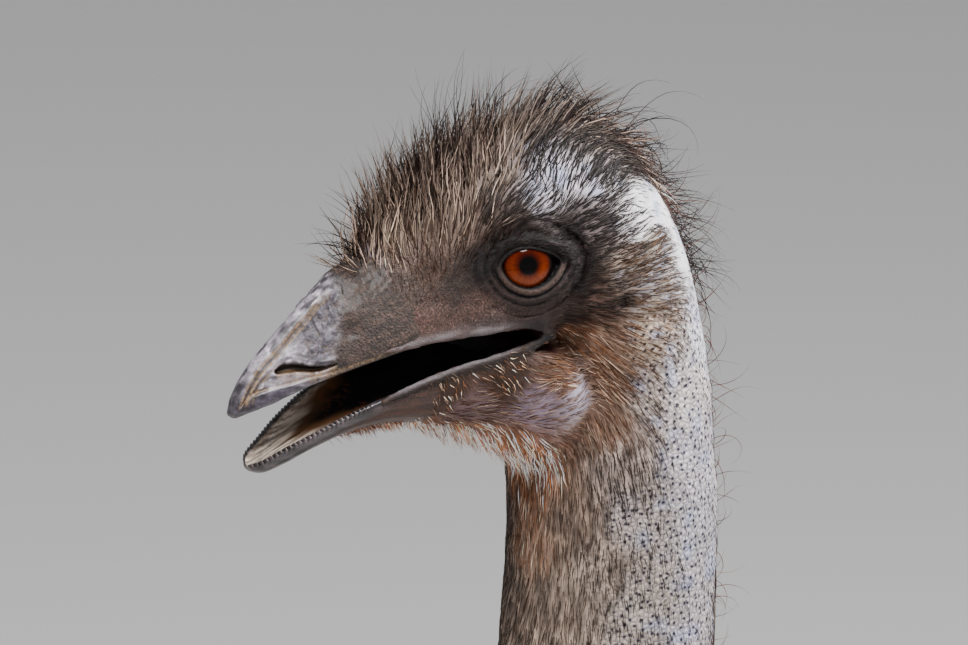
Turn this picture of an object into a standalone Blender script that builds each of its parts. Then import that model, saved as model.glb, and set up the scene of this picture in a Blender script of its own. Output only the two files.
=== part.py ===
"""A standing adult emu, life size, as a still museum model.

Metres, +Z up. The bird faces -Y and its left side is +X. The floor is z = 0, and the
origin is on the floor at the middle of the model's box.

The body is one loft of rings from the tip of the upper bill to the rump. Each ring stands
on a top point (culmen, crown, nape, back) and a bottom point (palate, throat, breast,
belly). The nodes are lengths of that loft, parted by thin gaps, so that the outline runs
on from one to the next. Feathers are flat tapered locks, fused to the node they grow from.
"""

import math
import random

import bmesh
import bpy
from mathutils import Matrix, Vector
from mathutils.bvhtree import BVHTree

# Driving sizes
MM = 0.001
GAP = 0.3 * MM
BILL_TIP_Y = -0.562
BILL_TIP_Z = 1.545
RING_POINTS = 20
COAT_DEPTH = 0.034
DRAW_SEED = 40

# Eyes: the ball's place behind and above the bill's tip, and how it looks out
EYE_BACK = 109 * MM
EYE_UP = 38 * MM
EYE_SIDE = 17.5 * MM
EYE_RADIUS = 14.5 * MM
EYE_FORWARD_DEG = 28
HOLLOW_OUT = 28 * MM
HOLLOW_RADIUS = 19 * MM
EYE_UP_DEG = 8

# Legs: the foot's joint, ankle and knee on the left side, and how far one foot leads
FOOT_SIDE = 0.115
FOOT_Y = 0.058
STRIDE = 0.016
TOE_ROOT_UP = 0.046
ANKLE_BACK = 0.078
ANKLE_UP = 0.392
THIGH_TOP_Y = 0.005
THIGH_TOP_UP = 0.735
SPLAY_DEG = 7

# Colours and finishes of the parts: red, green, blue, roughness
FINISHES = {
    "feather": (0.115, 0.078, 0.056, 0.85),
    "face_skin": (0.13, 0.10, 0.095, 0.6),
    "neck_skin": (0.42, 0.39, 0.40, 0.65),
    "horn": (0.17, 0.145, 0.15, 0.4),
    "eye": (0.36, 0.10, 0.01, 0.08),
    "leg_scale": (0.14, 0.115, 0.09, 0.6),
    "claw": (0.035, 0.03, 0.028, 0.35),
}


def clear_scene():
    for obj in list(bpy.data.objects):
        bpy.data.objects.remove(obj, do_unlink=True)


def finish(name):
    """The material of one finish, made when it is first asked for."""
    if name in bpy.data.materials:
        return bpy.data.materials[name]
    red, green, blue, roughness = FINISHES[name]
    made = bpy.data.materials.new(name)
    made.use_nodes = True
    shader = made.node_tree.nodes["Principled BSDF"]
    shader.inputs["Base Color"].default_value = (red, green, blue, 1)
    shader.inputs["Roughness"].default_value = roughness
    shader.inputs["Metallic"].default_value = 0
    return made


def part_collection():
    if "emu" not in bpy.data.collections:
        bpy.context.scene.collection.children.link(bpy.data.collections.new("emu"))
    return bpy.data.collections["emu"]


def mesh_object(name, bm, look=None):
    """A mesh object from bm, in the part's collection."""
    bmesh.ops.recalc_face_normals(bm, faces=bm.faces)
    bmesh.ops.triangulate(bm, faces=bm.faces)
    mesh = bpy.data.meshes.new(name)
    bm.to_mesh(mesh)
    bm.free()
    obj = bpy.data.objects.new(name, mesh)
    part_collection().objects.link(obj)
    if look:
        mesh.materials.append(finish(look))
    return obj


# Rings and lofts


class Ring:
    """One section of the loft: its top and bottom (y, z), half width, and shape."""

    def __init__(self, top, bottom, half_width, level=0.5, top_power=2.0, bottom_power=2.0):
        self.values = (*top, *bottom, half_width, level, top_power, bottom_power)

    @classmethod
    def of(cls, values):
        ring = cls((0, 0), (0, 0), 0)
        ring.values = tuple(values)
        return ring

    def point(self, turn):
        """The point at a turn round the ring, 0 at the left side and a quarter at the top."""
        top_y, top_z, low_y, low_z, half_width, level, top_power, bottom_power = self.values
        angle = 2 * math.pi * turn
        across, up = math.cos(angle), math.sin(angle)
        power = top_power if up >= 0 else bottom_power
        x = half_width * math.copysign(abs(across) ** (2 / power), across)
        rise = math.copysign(abs(up) ** (2 / power), up)
        share = level + rise * ((1 - level) if up >= 0 else level)
        return Vector((x, low_y + (top_y - low_y) * share, low_z + (top_z - low_z) * share))

    def points(self, count):
        return [self.point((k + 0.5) / count) for k in range(count)]

    def moved(self, offset):
        top_y, top_z, low_y, low_z, *rest = self.values
        return Ring.of((top_y + offset[0], top_z + offset[1], low_y + offset[0],
                        low_z + offset[1], *rest))

    def middle(self):
        return Vector(((self.values[0] + self.values[2]) / 2,
                       (self.values[1] + self.values[3]) / 2))


def between(rings, place):
    """The ring at a place along the list, on a smooth curve through the listed ones."""
    start = min(int(place), len(rings) - 2)
    t = place - start
    picks = [rings[max(0, min(len(rings) - 1, start + k))].values for k in (-1, 0, 1, 2)]
    smooth = []
    for before, a, b, after in zip(*picks):
        smooth.append(0.5 * (2 * a + (b - before) * t + (2 * before - 5 * a + 4 * b - after) * t ** 2
                             + (3 * a - before - 3 * b + after) * t ** 3))
    return Ring.of(smooth)


def loft(name, rings, look=None, count=RING_POINTS, shape=None):
    """A closed solid through the rings, with a flat cap at each end."""
    bm = bmesh.new()
    rows = []
    for ring in rings:
        points = ring.points(count)
        if shape:
            points = [shape(p) for p in points]
        rows.append([bm.verts.new(p) for p in points])
    for row, following in zip(rows, rows[1:]):
        for k in range(count):
            after = (k + 1) % count
            bm.faces.new((row[k], row[after], following[after], following[k]))
    bm.faces.new(rows[0])
    bm.faces.new(reversed(rows[-1]))
    return mesh_object(name, bm, look)


def length_of(rings, first, last, steps_each, trim_start=True):
    """The rings from first to last with steps between, parted from the length before by a gap."""
    steps = round((last - first) * steps_each)
    found = [between(rings, first + k / steps_each) for k in range(steps + 1)]
    if trim_start:
        along = (found[1].middle() - found[0].middle()).normalized()
        top = Vector(found[0].values[0:2])
        low = Vector(found[0].values[2:4])
        square = Vector((-(top - low).y, (top - low).x)).normalized()
        square *= math.copysign(1, square.dot(along))
        found[0] = found[0].moved(square * GAP)
    return found


def head_ring(top, bottom, half_width, level=0.5, top_power=2.0, bottom_power=2.0):
    """A ring given in millimetres behind and above the tip of the upper bill."""
    def place(pair):
        return (BILL_TIP_Y + pair[0] * MM, BILL_TIP_Z + pair[1] * MM)
    return Ring(place(top), place(bottom), half_width * MM, level, top_power, bottom_power)


# The body's rings: upper bill, head and neck, then neck and torso to the rump
BODY = [
    head_ring((0.2, 3.6), (0.8, 0.2), 2.2, 0.4),
    head_ring((3.5, 9.0), (5.5, 0.6), 4.8, 0.16, 1.7, 4.5),
    head_ring((9.5, 15.0), (12.6, 2.6), 7.6, 0.1, 1.5, 5),
    head_ring((18.5, 22.5), (22, 6.2), 10.8, 0.09, 1.45, 5),
    head_ring((30.5, 31.2), (34, 9.8), 14.8, 0.1, 1.5, 5),
    head_ring((43, 40.2), (49, 13.0), 18.6, 0.12, 1.55, 5),
    head_ring((54, 46.0), (64, 15.4), 21.6, 0.16, 1.65, 4.6),
    head_ring((66, 53.5), (77, 16.6), 24.0, 0.26, 1.75, 4),
    head_ring((80, 61.5), (89, 17.0), 26.4, 0.42, 1.9, 3.4),
    head_ring((96, 69.0), (101, 16.4), 28.8, 0.48, 2.0, 3.2),
    head_ring((113, 75.0), (113, 14.0), 31.0, 0.5, 2.1, 2.9),
    head_ring((128, 78.2), (123, 8.0), 32.8, 0.5, 2.1, 2.5),
    head_ring((143, 77.2), (128.5, 0), 33.4, 0.5, 2.1, 2.3),
    head_ring((157, 70.5), (130, -9), 33.0, 0.5, 2.1, 2.2),
    head_ring((169, 59.0), (130, -18), 32.4, 0.5, 2.1, 2.2),
    head_ring((179.5, 44.0), (128.5, -27), 32.4, 0.5, 2.1, 2.2),
    head_ring((187.5, 27), (127, -37), 33.0, 0.5),
    head_ring((192.5, 7), (126.5, -47), 34.0, 0.5),
    head_ring((196.6, -16), (126.8, -59), 34.9, 0.5),
    head_ring((198.6, -40), (127.2, -73), 35.6, 0.5),
    head_ring((199.4, -66), (126.6, -88), 36.2, 0.5),
    head_ring((199.0, -92), (125.2, -104), 36.6, 0.5),
    head_ring((198.4, -114), (123.6, -120), 37.0, 0.5),
    Ring((-0.366, 1.368), (-0.443, 1.362), 0.0385),
    Ring((-0.366, 1.290), (-0.448, 1.270), 0.0405),
    Ring((-0.356, 1.222), (-0.449, 1.185), 0.0450),
    Ring((-0.330, 1.165), (-0.442, 1.100), 0.0560),
    Ring((-0.290, 1.120), (-0.426, 1.012), 0.0740),
    Ring((-0.236, 1.092), (-0.400, 0.925), 0.1000),
    Ring((-0.170, 1.083), (-0.352, 0.835), 0.1370),
    Ring((-0.095, 1.088), (-0.270, 0.752), 0.1730),
    Ring((0.000, 1.094), (-0.150, 0.690), 0.2030),
    Ring((0.105, 1.084), (-0.005, 0.655), 0.2180),
    Ring((0.210, 1.050), (0.145, 0.648), 0.2120),
    Ring((0.305, 0.990), (0.265, 0.662), 0.1820),
    Ring((0.375, 0.915), (0.350, 0.690), 0.1350),
    Ring((0.420, 0.840), (0.405, 0.725), 0.0820),
    Ring((0.440, 0.795), (0.434, 0.762), 0.0300),
]
BILL_END, HEAD_END, UPPER_NECK_END, MIDDLE_NECK_END, NECK_END, TORSO_END = 6, 17, 23, 26, 28, 34

# The lower jaw's rings, from the tip of the lower bill to inside the throat
JAW = [
    head_ring((7.4, -18.8), (8.6, -21.4), 2.4, 0.5),
    head_ring((10.5, -17.0), (12.5, -22.4), 6.0, 0.8, 5, 2),
    head_ring((18, -13.2), (20, -20.6), 8.8, 0.84, 5, 2),
    head_ring((28, -8.6), (30, -16.8), 12.4, 0.86, 5, 2),
    head_ring((41, -3.2), (43, -13.6), 15.8, 0.86, 5, 2),
    head_ring((56, 1.4), (58.5, -13.4), 18.8, 0.86, 5, 2),
    head_ring((70, 4.6), (73, -15.8), 21.4, 0.86, 5, 2),
    head_ring((84, 7.4), (87, -20.0), 23.6, 0.84, 4.5, 2),
    head_ring((98, 10.0), (100, -25.5), 25.8, 0.8, 4, 2),
    head_ring((111, 12.2), (112, -32), 27.6, 0.72, 3, 2),
    head_ring((122, 11.5), (121.5, -38.5), 28.4, 0.62, 2.4, 2),
    head_ring((133, 6.0), (130, -39.5), 26.0, 0.55, 2, 2),
    head_ring((144, 1.0), (139, -33), 19.0, 0.5, 2, 2),
]
LOWER_BILL_END = 6


def swelling(centre, radius, height):
    """A soft rise on both sides of the head: its centre and size in millimetres."""
    back, up, side = centre
    middle = Vector((side * MM, BILL_TIP_Y + back * MM, BILL_TIP_Z + up * MM))
    return middle, radius * MM, height * MM


FACE_FORMS = [
    swelling((100, 57, 24), 13, 2.6),     # brow over the eye
    swelling((84, 36, 25), 11, -2.2),     # hollow in front of the eye
    swelling((118, 8, 29), 13, 1.8),      # cheek behind the corner of the mouth
    swelling((150, -14, 32), 16, -1.8),   # hollow where the jaw meets the neck
    swelling((40, 27, 14), 9, 1.4),       # swelling over the nostril
]


def with_face_forms(point):
    """The point moved out or in by the face's soft forms, alike on both sides."""
    mirrored = Vector((abs(point.x), point.y, point.z))
    moved = 0.0
    for centre, radius, height in FACE_FORMS:
        moved += height * math.exp(-((mirrored - centre).length / radius) ** 2)
    return Vector((point.x + math.copysign(moved, point.x), point.y, point.z))


# Booleans


def fuse(body, pieces, operation="UNION", solver="MANIFOLD"):
    """Joins the pieces to the body, or cuts them from it, and keeps its largest surface."""
    if not pieces:
        return body
    group = bpy.data.collections.new("pieces")
    bpy.context.scene.collection.children.link(group)
    for piece in pieces:
        for owner in list(piece.users_collection):
            owner.objects.unlink(piece)
        group.objects.link(piece)
    joined = body.modifiers.new("join", "BOOLEAN")
    joined.operation = operation
    joined.operand_type = "COLLECTION"
    joined.collection = group
    joined.solver = solver
    bpy.context.view_layer.update()
    graph = bpy.context.evaluated_depsgraph_get()
    made = bpy.data.meshes.new_from_object(body.evaluated_get(graph))
    body.modifiers.clear()
    looks = [slot.material for slot in body.material_slots]
    body.data = made
    made.materials.clear()
    for look in looks[:1]:
        made.materials.append(look)
    for piece in pieces:
        bpy.data.objects.remove(piece, do_unlink=True)
    bpy.data.collections.remove(group)
    keep_largest(body)
    return body


def keep_largest(obj):
    """Leaves only the closed surface that holds the most volume."""
    bm = bmesh.new()
    bm.from_mesh(obj.data)
    bmesh.ops.triangulate(bm, faces=bm.faces)
    for face in bm.faces:
        face.tag = False
        face.material_index = 0
    shells = []
    for face in bm.faces:
        if face.tag:
            continue
        face.tag = True
        shell, queue = [], [face]
        while queue:
            current = queue.pop()
            shell.append(current)
            for edge in current.edges:
                for other in edge.link_faces:
                    if not other.tag:
                        other.tag = True
                        queue.append(other)
        volume = sum(f.verts[0].co.dot(f.verts[1].co.cross(f.verts[2].co)) for f in shell)
        shells.append((volume, shell))
    largest = max(shells, key=lambda pair: pair[0])[1]
    kept = set(largest)
    bmesh.ops.delete(bm, geom=[f for f in bm.faces if f not in kept], context="FACES")
    bm.to_mesh(obj.data)
    bm.free()


def tree_of(*objects):
    """One search tree over the surfaces of the objects."""
    points, faces = [], []
    for obj in objects:
        start = len(points)
        points += [obj.matrix_world @ v.co for v in obj.data.vertices]
        faces += [[start + i for i in polygon.vertices] for polygon in obj.data.polygons]
    return BVHTree.FromPolygons(points, faces)


# Locks of feathers

BLADE = (0.75, 1.0, 0.68)  # a lock's width at its root and along it, as shares


def lock_path(root, out, flow, length, lift, clearance, tree, sink, sag=0.0, steps=3):
    """Points of a lock that leaves the surface, turns to the flow and keeps to the body.

    On upper and side surfaces it stays near its clearance, and beneath them it hangs free."""
    points = [root - out * sink]
    point = root.copy()
    heading = (flow - out * flow.dot(out)).normalized() + out * lift
    for k in range(steps):
        _, normal, _, _ = tree.find_nearest(point)
        along = flow - normal * min(0.0, flow.dot(normal))
        heading = (heading.normalized() + along * 0.7 + Vector((0, 0, -sag))).normalized()
        point = point + heading * (length / steps)
        near, normal, _, distance = tree.find_nearest(point)
        height = math.copysign(distance, (point - near).dot(normal))
        wanted = clearance * (0.55 + 0.45 * (k + 1) / steps) * (1 - 0.65 * max(0.0, normal.z))
        if height < wanted or normal.z > -0.25:
            point = point + normal * (wanted - height) * 0.9
        points.append(point)
    return points


def lock_solid(points, tree, width, thickness, name="lock"):
    """A closed blade along the points: flat beneath, keeled above, narrowing to its tip."""
    bm = bmesh.new()
    rows = []
    for k, share in enumerate(BLADE):
        point = points[k]
        along = (points[k + 1] - points[max(0, k - 1)]).normalized()
        _, normal, _, _ = tree.find_nearest(point)
        side = along.cross(normal).normalized()
        up = side.cross(along).normalized()
        half = side * (width * share / 2)
        keel = up * (thickness * (0.75 + 0.25 * share))
        rows.append([bm.verts.new(point - half), bm.verts.new(point + half),
                     bm.verts.new(point + keel)])
    tip = bm.verts.new(points[-1])
    for row, following in zip(rows, rows[1:]):
        for k in range(3):
            after = (k + 1) % 3
            bm.faces.new((row[k], row[after], following[after]))
            bm.faces.new((row[k], following[after], following[k]))
    bm.faces.new(reversed(rows[0]))
    for k in range(3):
        bm.faces.new((rows[-1][k], rows[-1][(k + 1) % 3], tip))
    return mesh_object(name, bm)


def clear_lock(make, obstacles):
    """The lock at its full length, or shorter where it would meet another node, or None."""
    for share in (1.0, 0.82, 0.66, 0.5):
        piece = make(share)
        if obstacles is None or not tree_of(piece).overlap(obstacles):
            return piece
        bpy.data.objects.remove(piece, do_unlink=True)
    return None


def grow_locks(seeds, surface, rng, length, width, thickness, lift, clearance, sink, sag=0.0,
               obstacles=None):
    """Locks at the seeds, each a root, an outward direction and a lie."""
    found = []
    for root, out, lie in seeds:
        size = rng.uniform(0.88, 1.12)
        leaning = Matrix.Rotation(math.radians(rng.uniform(-9, 9)), 3, out) @ lie
        slack = rng.uniform(0.85, 1.2)

        def make(share, size=size, leaning=leaning, slack=slack, root=root, out=out):
            points = lock_path(root, out, leaning, length * size * share, lift,
                               clearance * slack, surface, sink, sag)
            return lock_solid(points, surface, width * size, thickness)

        piece = clear_lock(make, obstacles)
        if piece:
            found.append(piece)
    return found


def seeds_on_body(rings, places, turns, lie_of, rng, jitter=0.2):
    """Roots on the loft: at each place along it, at each turn round it, on both sides."""
    step = places[1] - places[0] if len(places) > 1 else 0
    gap = turns[1] - turns[0] if len(turns) > 1 else 0
    seeds = []
    for row, place in enumerate(places):
        for turn in turns:
            if row % 2:
                turn -= 0.5 * gap
            for side in (1, -1) if abs(turn) > 0.01 else (rng.choice((1, -1)),):
                here = turn + rng.uniform(-jitter, jitter) * gap
                at = place + rng.uniform(-jitter, jitter) * step
                root, out = skin_point(rings, at, 0.25 - side * here)
                seeds.append((root, out, lie_of(root, out, side)))
    return seeds


def skin_point(rings, place, turn):
    """A point on the loft and the direction out of it."""
    small = 0.01
    root = between(rings, place).point(turn)
    ahead = between(rings, min(place + small, len(rings) - 1.001)).point(turn)
    behind = between(rings, max(place - small, 0)).point(turn)
    round_it = between(rings, place).point(turn + small) - between(rings, place).point(turn - small)
    out = round_it.cross(ahead - behind).normalized()
    middle = between(rings, place).middle()
    if out.dot(root - Vector((0, middle.x, middle.y))) < 0:
        out = -out
    return root, out


def hanging(back_share):
    """A lie that hangs down the side of the body and sweeps back."""
    def lie_of(root, out, side):
        return Vector((0.12 * side, back_share, -1.0)).normalized()
    return lie_of


# The head's parts


def head_point(back, up, side):
    return Vector((side * MM, BILL_TIP_Y + back * MM, BILL_TIP_Z + up * MM))


def ball(name, centre, radius, scale=(1, 1, 1), turn=None, look=None, columns=20, rows=12):
    bm = bmesh.new()
    bmesh.ops.create_uvsphere(bm, u_segments=columns, v_segments=rows, radius=radius)
    frame = Matrix.Translation(centre) @ (turn or Matrix.Identity(4)) @ Matrix.Diagonal((*scale, 1))
    bmesh.ops.transform(bm, matrix=frame, verts=bm.verts)
    return mesh_object(name, bm, look)


def eye_centre(side):
    return Vector((side * EYE_SIDE, BILL_TIP_Y + EYE_BACK, BILL_TIP_Z + EYE_UP))


def eye_axis(side):
    forward, up = math.radians(EYE_FORWARD_DEG), math.radians(EYE_UP_DEG)
    return Vector((side * math.cos(forward) * math.cos(up), -math.sin(forward) * math.cos(up),
                   math.sin(up)))


def eye_ball(name, side):
    return ball(name, eye_centre(side), EYE_RADIUS, turn=turned_to(eye_axis(side)), look="eye",
                columns=14, rows=8)


def turned_to(axis):
    return axis.to_track_quat("Z", "Y").to_matrix().to_4x4()


def eye_hollows():
    """The shallow bowl that each eye looks out of, wider than the lids."""
    made = []
    for side in (1, -1):
        centre = eye_centre(side) + eye_axis(side) * HOLLOW_OUT
        made.append(ball("hollow", centre, HOLLOW_RADIUS, turn=turned_to(eye_axis(side)),
                         columns=16, rows=10))
    return made


def eye_sockets():
    """Cutters that leave a thin gap round each ball."""
    return [ball("socket", eye_centre(side), EYE_RADIUS + GAP, turn=turned_to(eye_axis(side)),
                 columns=16, rows=8) for side in (1, -1)]


def eye_lids(side):
    """The two lids as one rim round the eye, thicker above, where the brow overhangs it."""
    rim_radius, rim_thickness = 12.6 * MM, 2.3 * MM
    axis = eye_axis(side)
    turn = axis.to_track_quat("Z", "Y")
    around, section = 16, 5
    bm = bmesh.new()
    rows = []
    for k in range(around):
        angle = 2 * math.pi * (k + 0.3) / around
        spoke = turn @ Vector((math.cos(angle), math.sin(angle), 0))
        above = max(0.0, spoke.z)
        thick = rim_thickness * (1 + 0.35 * above)
        hub = eye_centre(side) + spoke * rim_radius * (1 - 0.13 * above) + axis * 9.6 * MM
        row = []
        for j in range(section):
            bend = 2 * math.pi * j / section
            row.append(bm.verts.new(hub + spoke * thick * math.cos(bend) + axis * thick * math.sin(bend)))
        rows.append(row)
    for k in range(around):
        row, following = rows[k], rows[(k + 1) % around]
        for j in range(section):
            after = (j + 1) % section
            bm.faces.new((row[j], row[after], following[after], following[j]))
    return mesh_object("lids", bm)


def mouth_trough():
    """The cutter for the hollow between the edges of the lower bill."""
    hollow = []
    for share in (0.03, 0.12, 0.3, 0.5, 0.75, 1.0):
        ring = between(JAW, share * 8.2 + 0.6).values
        top_y, top_z, _, _, half_width = ring[:5]
        depth = (2.4 + 4.5 * share) * MM
        hollow.append(Ring((top_y, top_z + 6 * MM), (top_y + 0.5 * MM, top_z - depth),
                           half_width - 1.9 * MM, 0.62, 4, 2.4))
    cutter = loft("trough", hollow, count=16)
    cutter.hide_render = True
    return cutter


def nostril_cutters():
    """A slit on each side of the upper bill, long and low."""
    made = []
    for side in (1, -1):
        aim = (head_point(44, 19.5, 16 * side) - head_point(18.5, 16.5, 9.6 * side)).normalized()
        turn = aim.to_track_quat("X", "Z").to_matrix().to_4x4()
        centre = head_point(31, 18.2, 14.4 * side)
        cutter = ball("nostril", centre, 12.0 * MM, (1.0, 0.24, 0.17), turn, columns=12, rows=6)
        cutter.hide_render = True
        made.append(cutter)
    return made


def ear_cutters():
    made = []
    for side in (1, -1):
        cutter = ball("ear", head_point(143, 19, 35 * side), 6.0 * MM, (0.75, 0.8, 1.15), columns=10,
                      rows=6)
        cutter.hide_render = True
        made.append(cutter)
    return made


def crest_rows():
    """Rows of the crown's hair-like feathers: place, turns, flow back and up, and lift."""
    return (
        (6.8, (0.035, 0.105), -0.9, 0.9, 1.5),
        (7.8, (0.0, 0.075, 0.15), -0.6, 1.0, 1.4),
        (9.0, (0.04, 0.12), -0.1, 1.0, 1.2),
        (10.2, (0.0, 0.08, 0.16), 0.5, 0.6, 1.0),
        (11.4, (0.04, 0.12), 0.9, 0.2, 0.8),
        (12.6, (0.0, 0.075), 1.0, -0.4, 0.8),
    )


def crest_locks(head, rng):
    """The crown's hair-like feathers, standing at the brow and sweeping back behind it."""
    tree = tree_of(head)
    found = []
    for place, turns, back, up, lift in crest_rows():
        for turn in turns:
            for side in (1, -1) if turn else (1,):
                here = turn + rng.uniform(-0.012, 0.012)
                root, out = skin_point(BODY, place + rng.uniform(-0.15, 0.15), 0.25 - side * here)
                flow = Vector((side * turn * 3, back, up)).normalized()
                length = rng.uniform(27, 35) * MM
                points = lock_path(root, out, flow, length, lift, rng.uniform(9, 13) * MM, tree,
                                   2.5 * MM)
                found.append(lock_solid(points, tree, rng.uniform(10, 13.5) * MM, 2.4 * MM))
    return found


def nape_seeds():
    """Roots of the long thin wisps down the back of the neck."""
    seeds = []
    for k in range(9):
        place = 14.2 + k * 0.98
        side = 1 if k % 2 else -1
        root, out = skin_point(BODY, place, 0.25 - side * 0.018)
        seeds.append((root, out, Vector((0.15 * side, 0.25, -1)).normalized()))
    return seeds


def standing_lock(root, out, lie, length, width, thickness, curl, rng):
    """A free tapered wisp that rises from the skin and curls over towards its lie."""
    heading = (out + lie * 0.35).normalized()
    points, point = [root - out * 2.6 * MM], root.copy()
    for k in range(4):
        heading = (heading + lie * curl * rng.uniform(0.7, 1.3)).normalized()
        point = point + heading * length / 4
        points.append(point.copy())
    across = out.cross(lie)
    across = across.normalized() if across.length > 0.05 else Vector((1, 0, 0))
    bm = bmesh.new()
    rows = []
    for k, share in enumerate((0.8, 1.0, 0.8, 0.5)):
        along = (points[k + 1] - points[max(0, k - 1)]).normalized()
        side = (across - along * across.dot(along)).normalized()
        up = side.cross(along)
        rows.append([bm.verts.new(points[k] - side * width * share / 2),
                     bm.verts.new(points[k] + side * width * share / 2),
                     bm.verts.new(points[k] + up * thickness * share)])
    tip = bm.verts.new(points[-1])
    for row, following in zip(rows, rows[1:]):
        for k in range(3):
            after = (k + 1) % 3
            bm.faces.new((row[k], row[after], following[after]))
            bm.faces.new((row[k], following[after], following[k]))
    bm.faces.new(reversed(rows[0]))
    for k in range(3):
        bm.faces.new((rows[-1][k], rows[-1][(k + 1) % 3], tip))
    return mesh_object("wisp", bm)


def draw(number):
    """A random draw of a node's own, so that a change to one leaves the others alone."""
    return random.Random(DRAW_SEED + number)


def build_head():
    """Upper and lower bill, eyes, and the head with its lids, mouth, ears and crest."""
    bill = loft("bill_upper", length_of(BODY, 0, BILL_END, 2, trim_start=False), "horn",
                shape=with_face_forms)
    fuse(bill, nostril_cutters(), "DIFFERENCE")
    lower = loft("bill_lower", length_of(JAW, 0, LOWER_BILL_END, 1, trim_start=False), "horn", 18)
    fuse(lower, [mouth_trough()], "DIFFERENCE")

    head = loft("head", length_of(BODY, BILL_END, HEAD_END, 2), "face_skin", shape=with_face_forms)
    jaw = loft("jaw", length_of(JAW, LOWER_BILL_END, len(JAW) - 1, 1), count=20)
    fuse(jaw, [mouth_trough()], "DIFFERENCE")
    fuse(head, eye_hollows() + ear_cutters(), "DIFFERENCE")
    fuse(head, [jaw, eye_lids(1), eye_lids(-1), *crest_locks(head, draw(1))])
    fuse(head, eye_sockets(), "DIFFERENCE")
    eye_ball("eye_left", 1)
    eye_ball("eye_right", -1)
    return head


def build_upper_neck():
    """The bare upper neck, with the long wisps of its nape."""
    rng = draw(2)
    upper = loft("neck_upper", length_of(BODY, HEAD_END, UPPER_NECK_END, 1), "neck_skin")
    wisps = []
    for root, out, lie in nape_seeds():
        if root.z < between(BODY, HEAD_END + 0.4).values[1]:
            length = rng.uniform(22, 30) * MM
            wisps.append(standing_lock(root, out, lie, length, 3.6 * MM, 1.5 * MM, 0.42, rng))
    return fuse(upper, wisps)


def coat_neck(middle, lower, torso, wings):
    """Feathers of the neck, longer towards the breast; each length's hang over the next."""
    seeds = seeds_on_body(BODY, (26.15, 26.95), (0.06, 0.185, 0.31, 0.44), hanging(0.25), draw(4))
    locks = grow_locks(seeds, tree_of(lower, torso), draw(5), length=0.112, width=0.058, thickness=0.008,
                       lift=0.25, clearance=0.018, sink=0.008, obstacles=tree_of(torso, middle, *wings))
    fuse(lower, locks)
    seeds = seeds_on_body(BODY, (23.6, 24.6), (0.08, 0.25, 0.42), hanging(0.1), draw(3))
    locks = grow_locks(seeds, tree_of(middle, lower), draw(6), length=0.078, width=0.038, thickness=0.005,
                       lift=0.25, clearance=0.007, sink=0.006, obstacles=tree_of(lower, torso))
    fuse(middle, locks)


# The trunk


def build_tail(torso):
    """The rump, whose long feathers droop over the tail and hide it."""
    rng = draw(7)
    tail = loft("tail", length_of(BODY, TORSO_END, len(BODY) - 1, 2), "feather")
    seeds = seeds_on_body(BODY, (34.6, 35.7), (0.045, 0.135, 0.225, 0.315), hanging(0.55), rng)
    locks = grow_locks(seeds, tree_of(tail), rng, length=0.165, width=0.062, thickness=0.010, lift=0.5,
                       clearance=COAT_DEPTH * 0.75, sink=0.012, sag=0.25, obstacles=tree_of(torso))
    return fuse(tail, locks)


WING_HALF = 0.042
WING_DEPTH = 0.030


def wing_rings(side):
    """The small wing, folded back along the flank: rings from the shoulder to its tip."""
    root = Vector((side * 0.178, -0.150, 0.925))
    tip = Vector((side * 0.222, 0.045, 0.835))
    sizes = ((0.0, 0.016), (0.12, 0.033), (0.35, WING_HALF), (0.6, 0.037), (0.85, 0.026), (1.0, 0.010))
    rings = []
    for share, half in sizes:
        middle = root.lerp(tip, share)
        rings.append((middle, half))
    return rings


def build_wing(side, rng, torso, thighs):
    """A short flattened limb against the flank, with a few drooping feathers."""
    bm = bmesh.new()
    rows = []
    count = 12
    for middle, half in wing_rings(side):
        row = []
        for k in range(count):
            angle = 2 * math.pi * (k + 0.5) / count
            across = side * WING_DEPTH * math.cos(angle) * half / WING_HALF
            row.append(bm.verts.new(middle + Vector((across, 0.42 * half * math.sin(angle),
                                                     half * math.sin(angle)))))
        rows.append(row)
    for row, following in zip(rows, rows[1:]):
        for k in range(count):
            after = (k + 1) % count
            bm.faces.new((row[k], row[after], following[after], following[k]))
    bm.faces.new(rows[0])
    bm.faces.new(reversed(rows[-1]))
    wing = mesh_object("wing_left" if side > 0 else "wing_right", bm, "feather")
    fuse(wing, [torso_cutter()], "DIFFERENCE")
    seeds = wing_seeds(side, tree_of(wing))
    locks = grow_locks(seeds, tree_of(torso, wing), rng, length=0.115, width=0.046, thickness=0.007,
                       lift=0.35, clearance=0.012, sink=0.0045, obstacles=tree_of(torso, *thighs))
    return fuse(wing, locks)


def torso_cutter():
    """The torso with its sides moved out by the gap, to cut a limb where it meets the torso."""
    found = []
    for ring in length_of(BODY, NECK_END - 0.5, TORSO_END, 2, trim_start=False):
        top_y, top_z, low_y, low_z, half_width, *rest = ring.values
        step = Vector((top_y - low_y, top_z - low_z)).normalized() * GAP
        found.append(Ring.of((top_y + step.x, top_z + step.y, low_y - step.x, low_z - step.y,
                              half_width + GAP, *rest)))
    cutter = loft("torso_cutter", found)
    cutter.hide_render = True
    return cutter


def wing_seeds(side, tree):
    seeds = []
    rings = wing_rings(side)
    for share, drop in ((0.12, 0.0), (0.42, 0.004), (0.72, 0.0), (0.28, -0.022), (0.62, -0.022)):
        middle = rings[0][0].lerp(rings[-1][0], share) + Vector((side * 0.06, 0, drop))
        near, normal, _, _ = tree.find_nearest(middle)
        seeds.append((near, normal, Vector((0.05 * side, 0.42, -1)).normalized()))
    return seeds


# Legs


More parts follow.
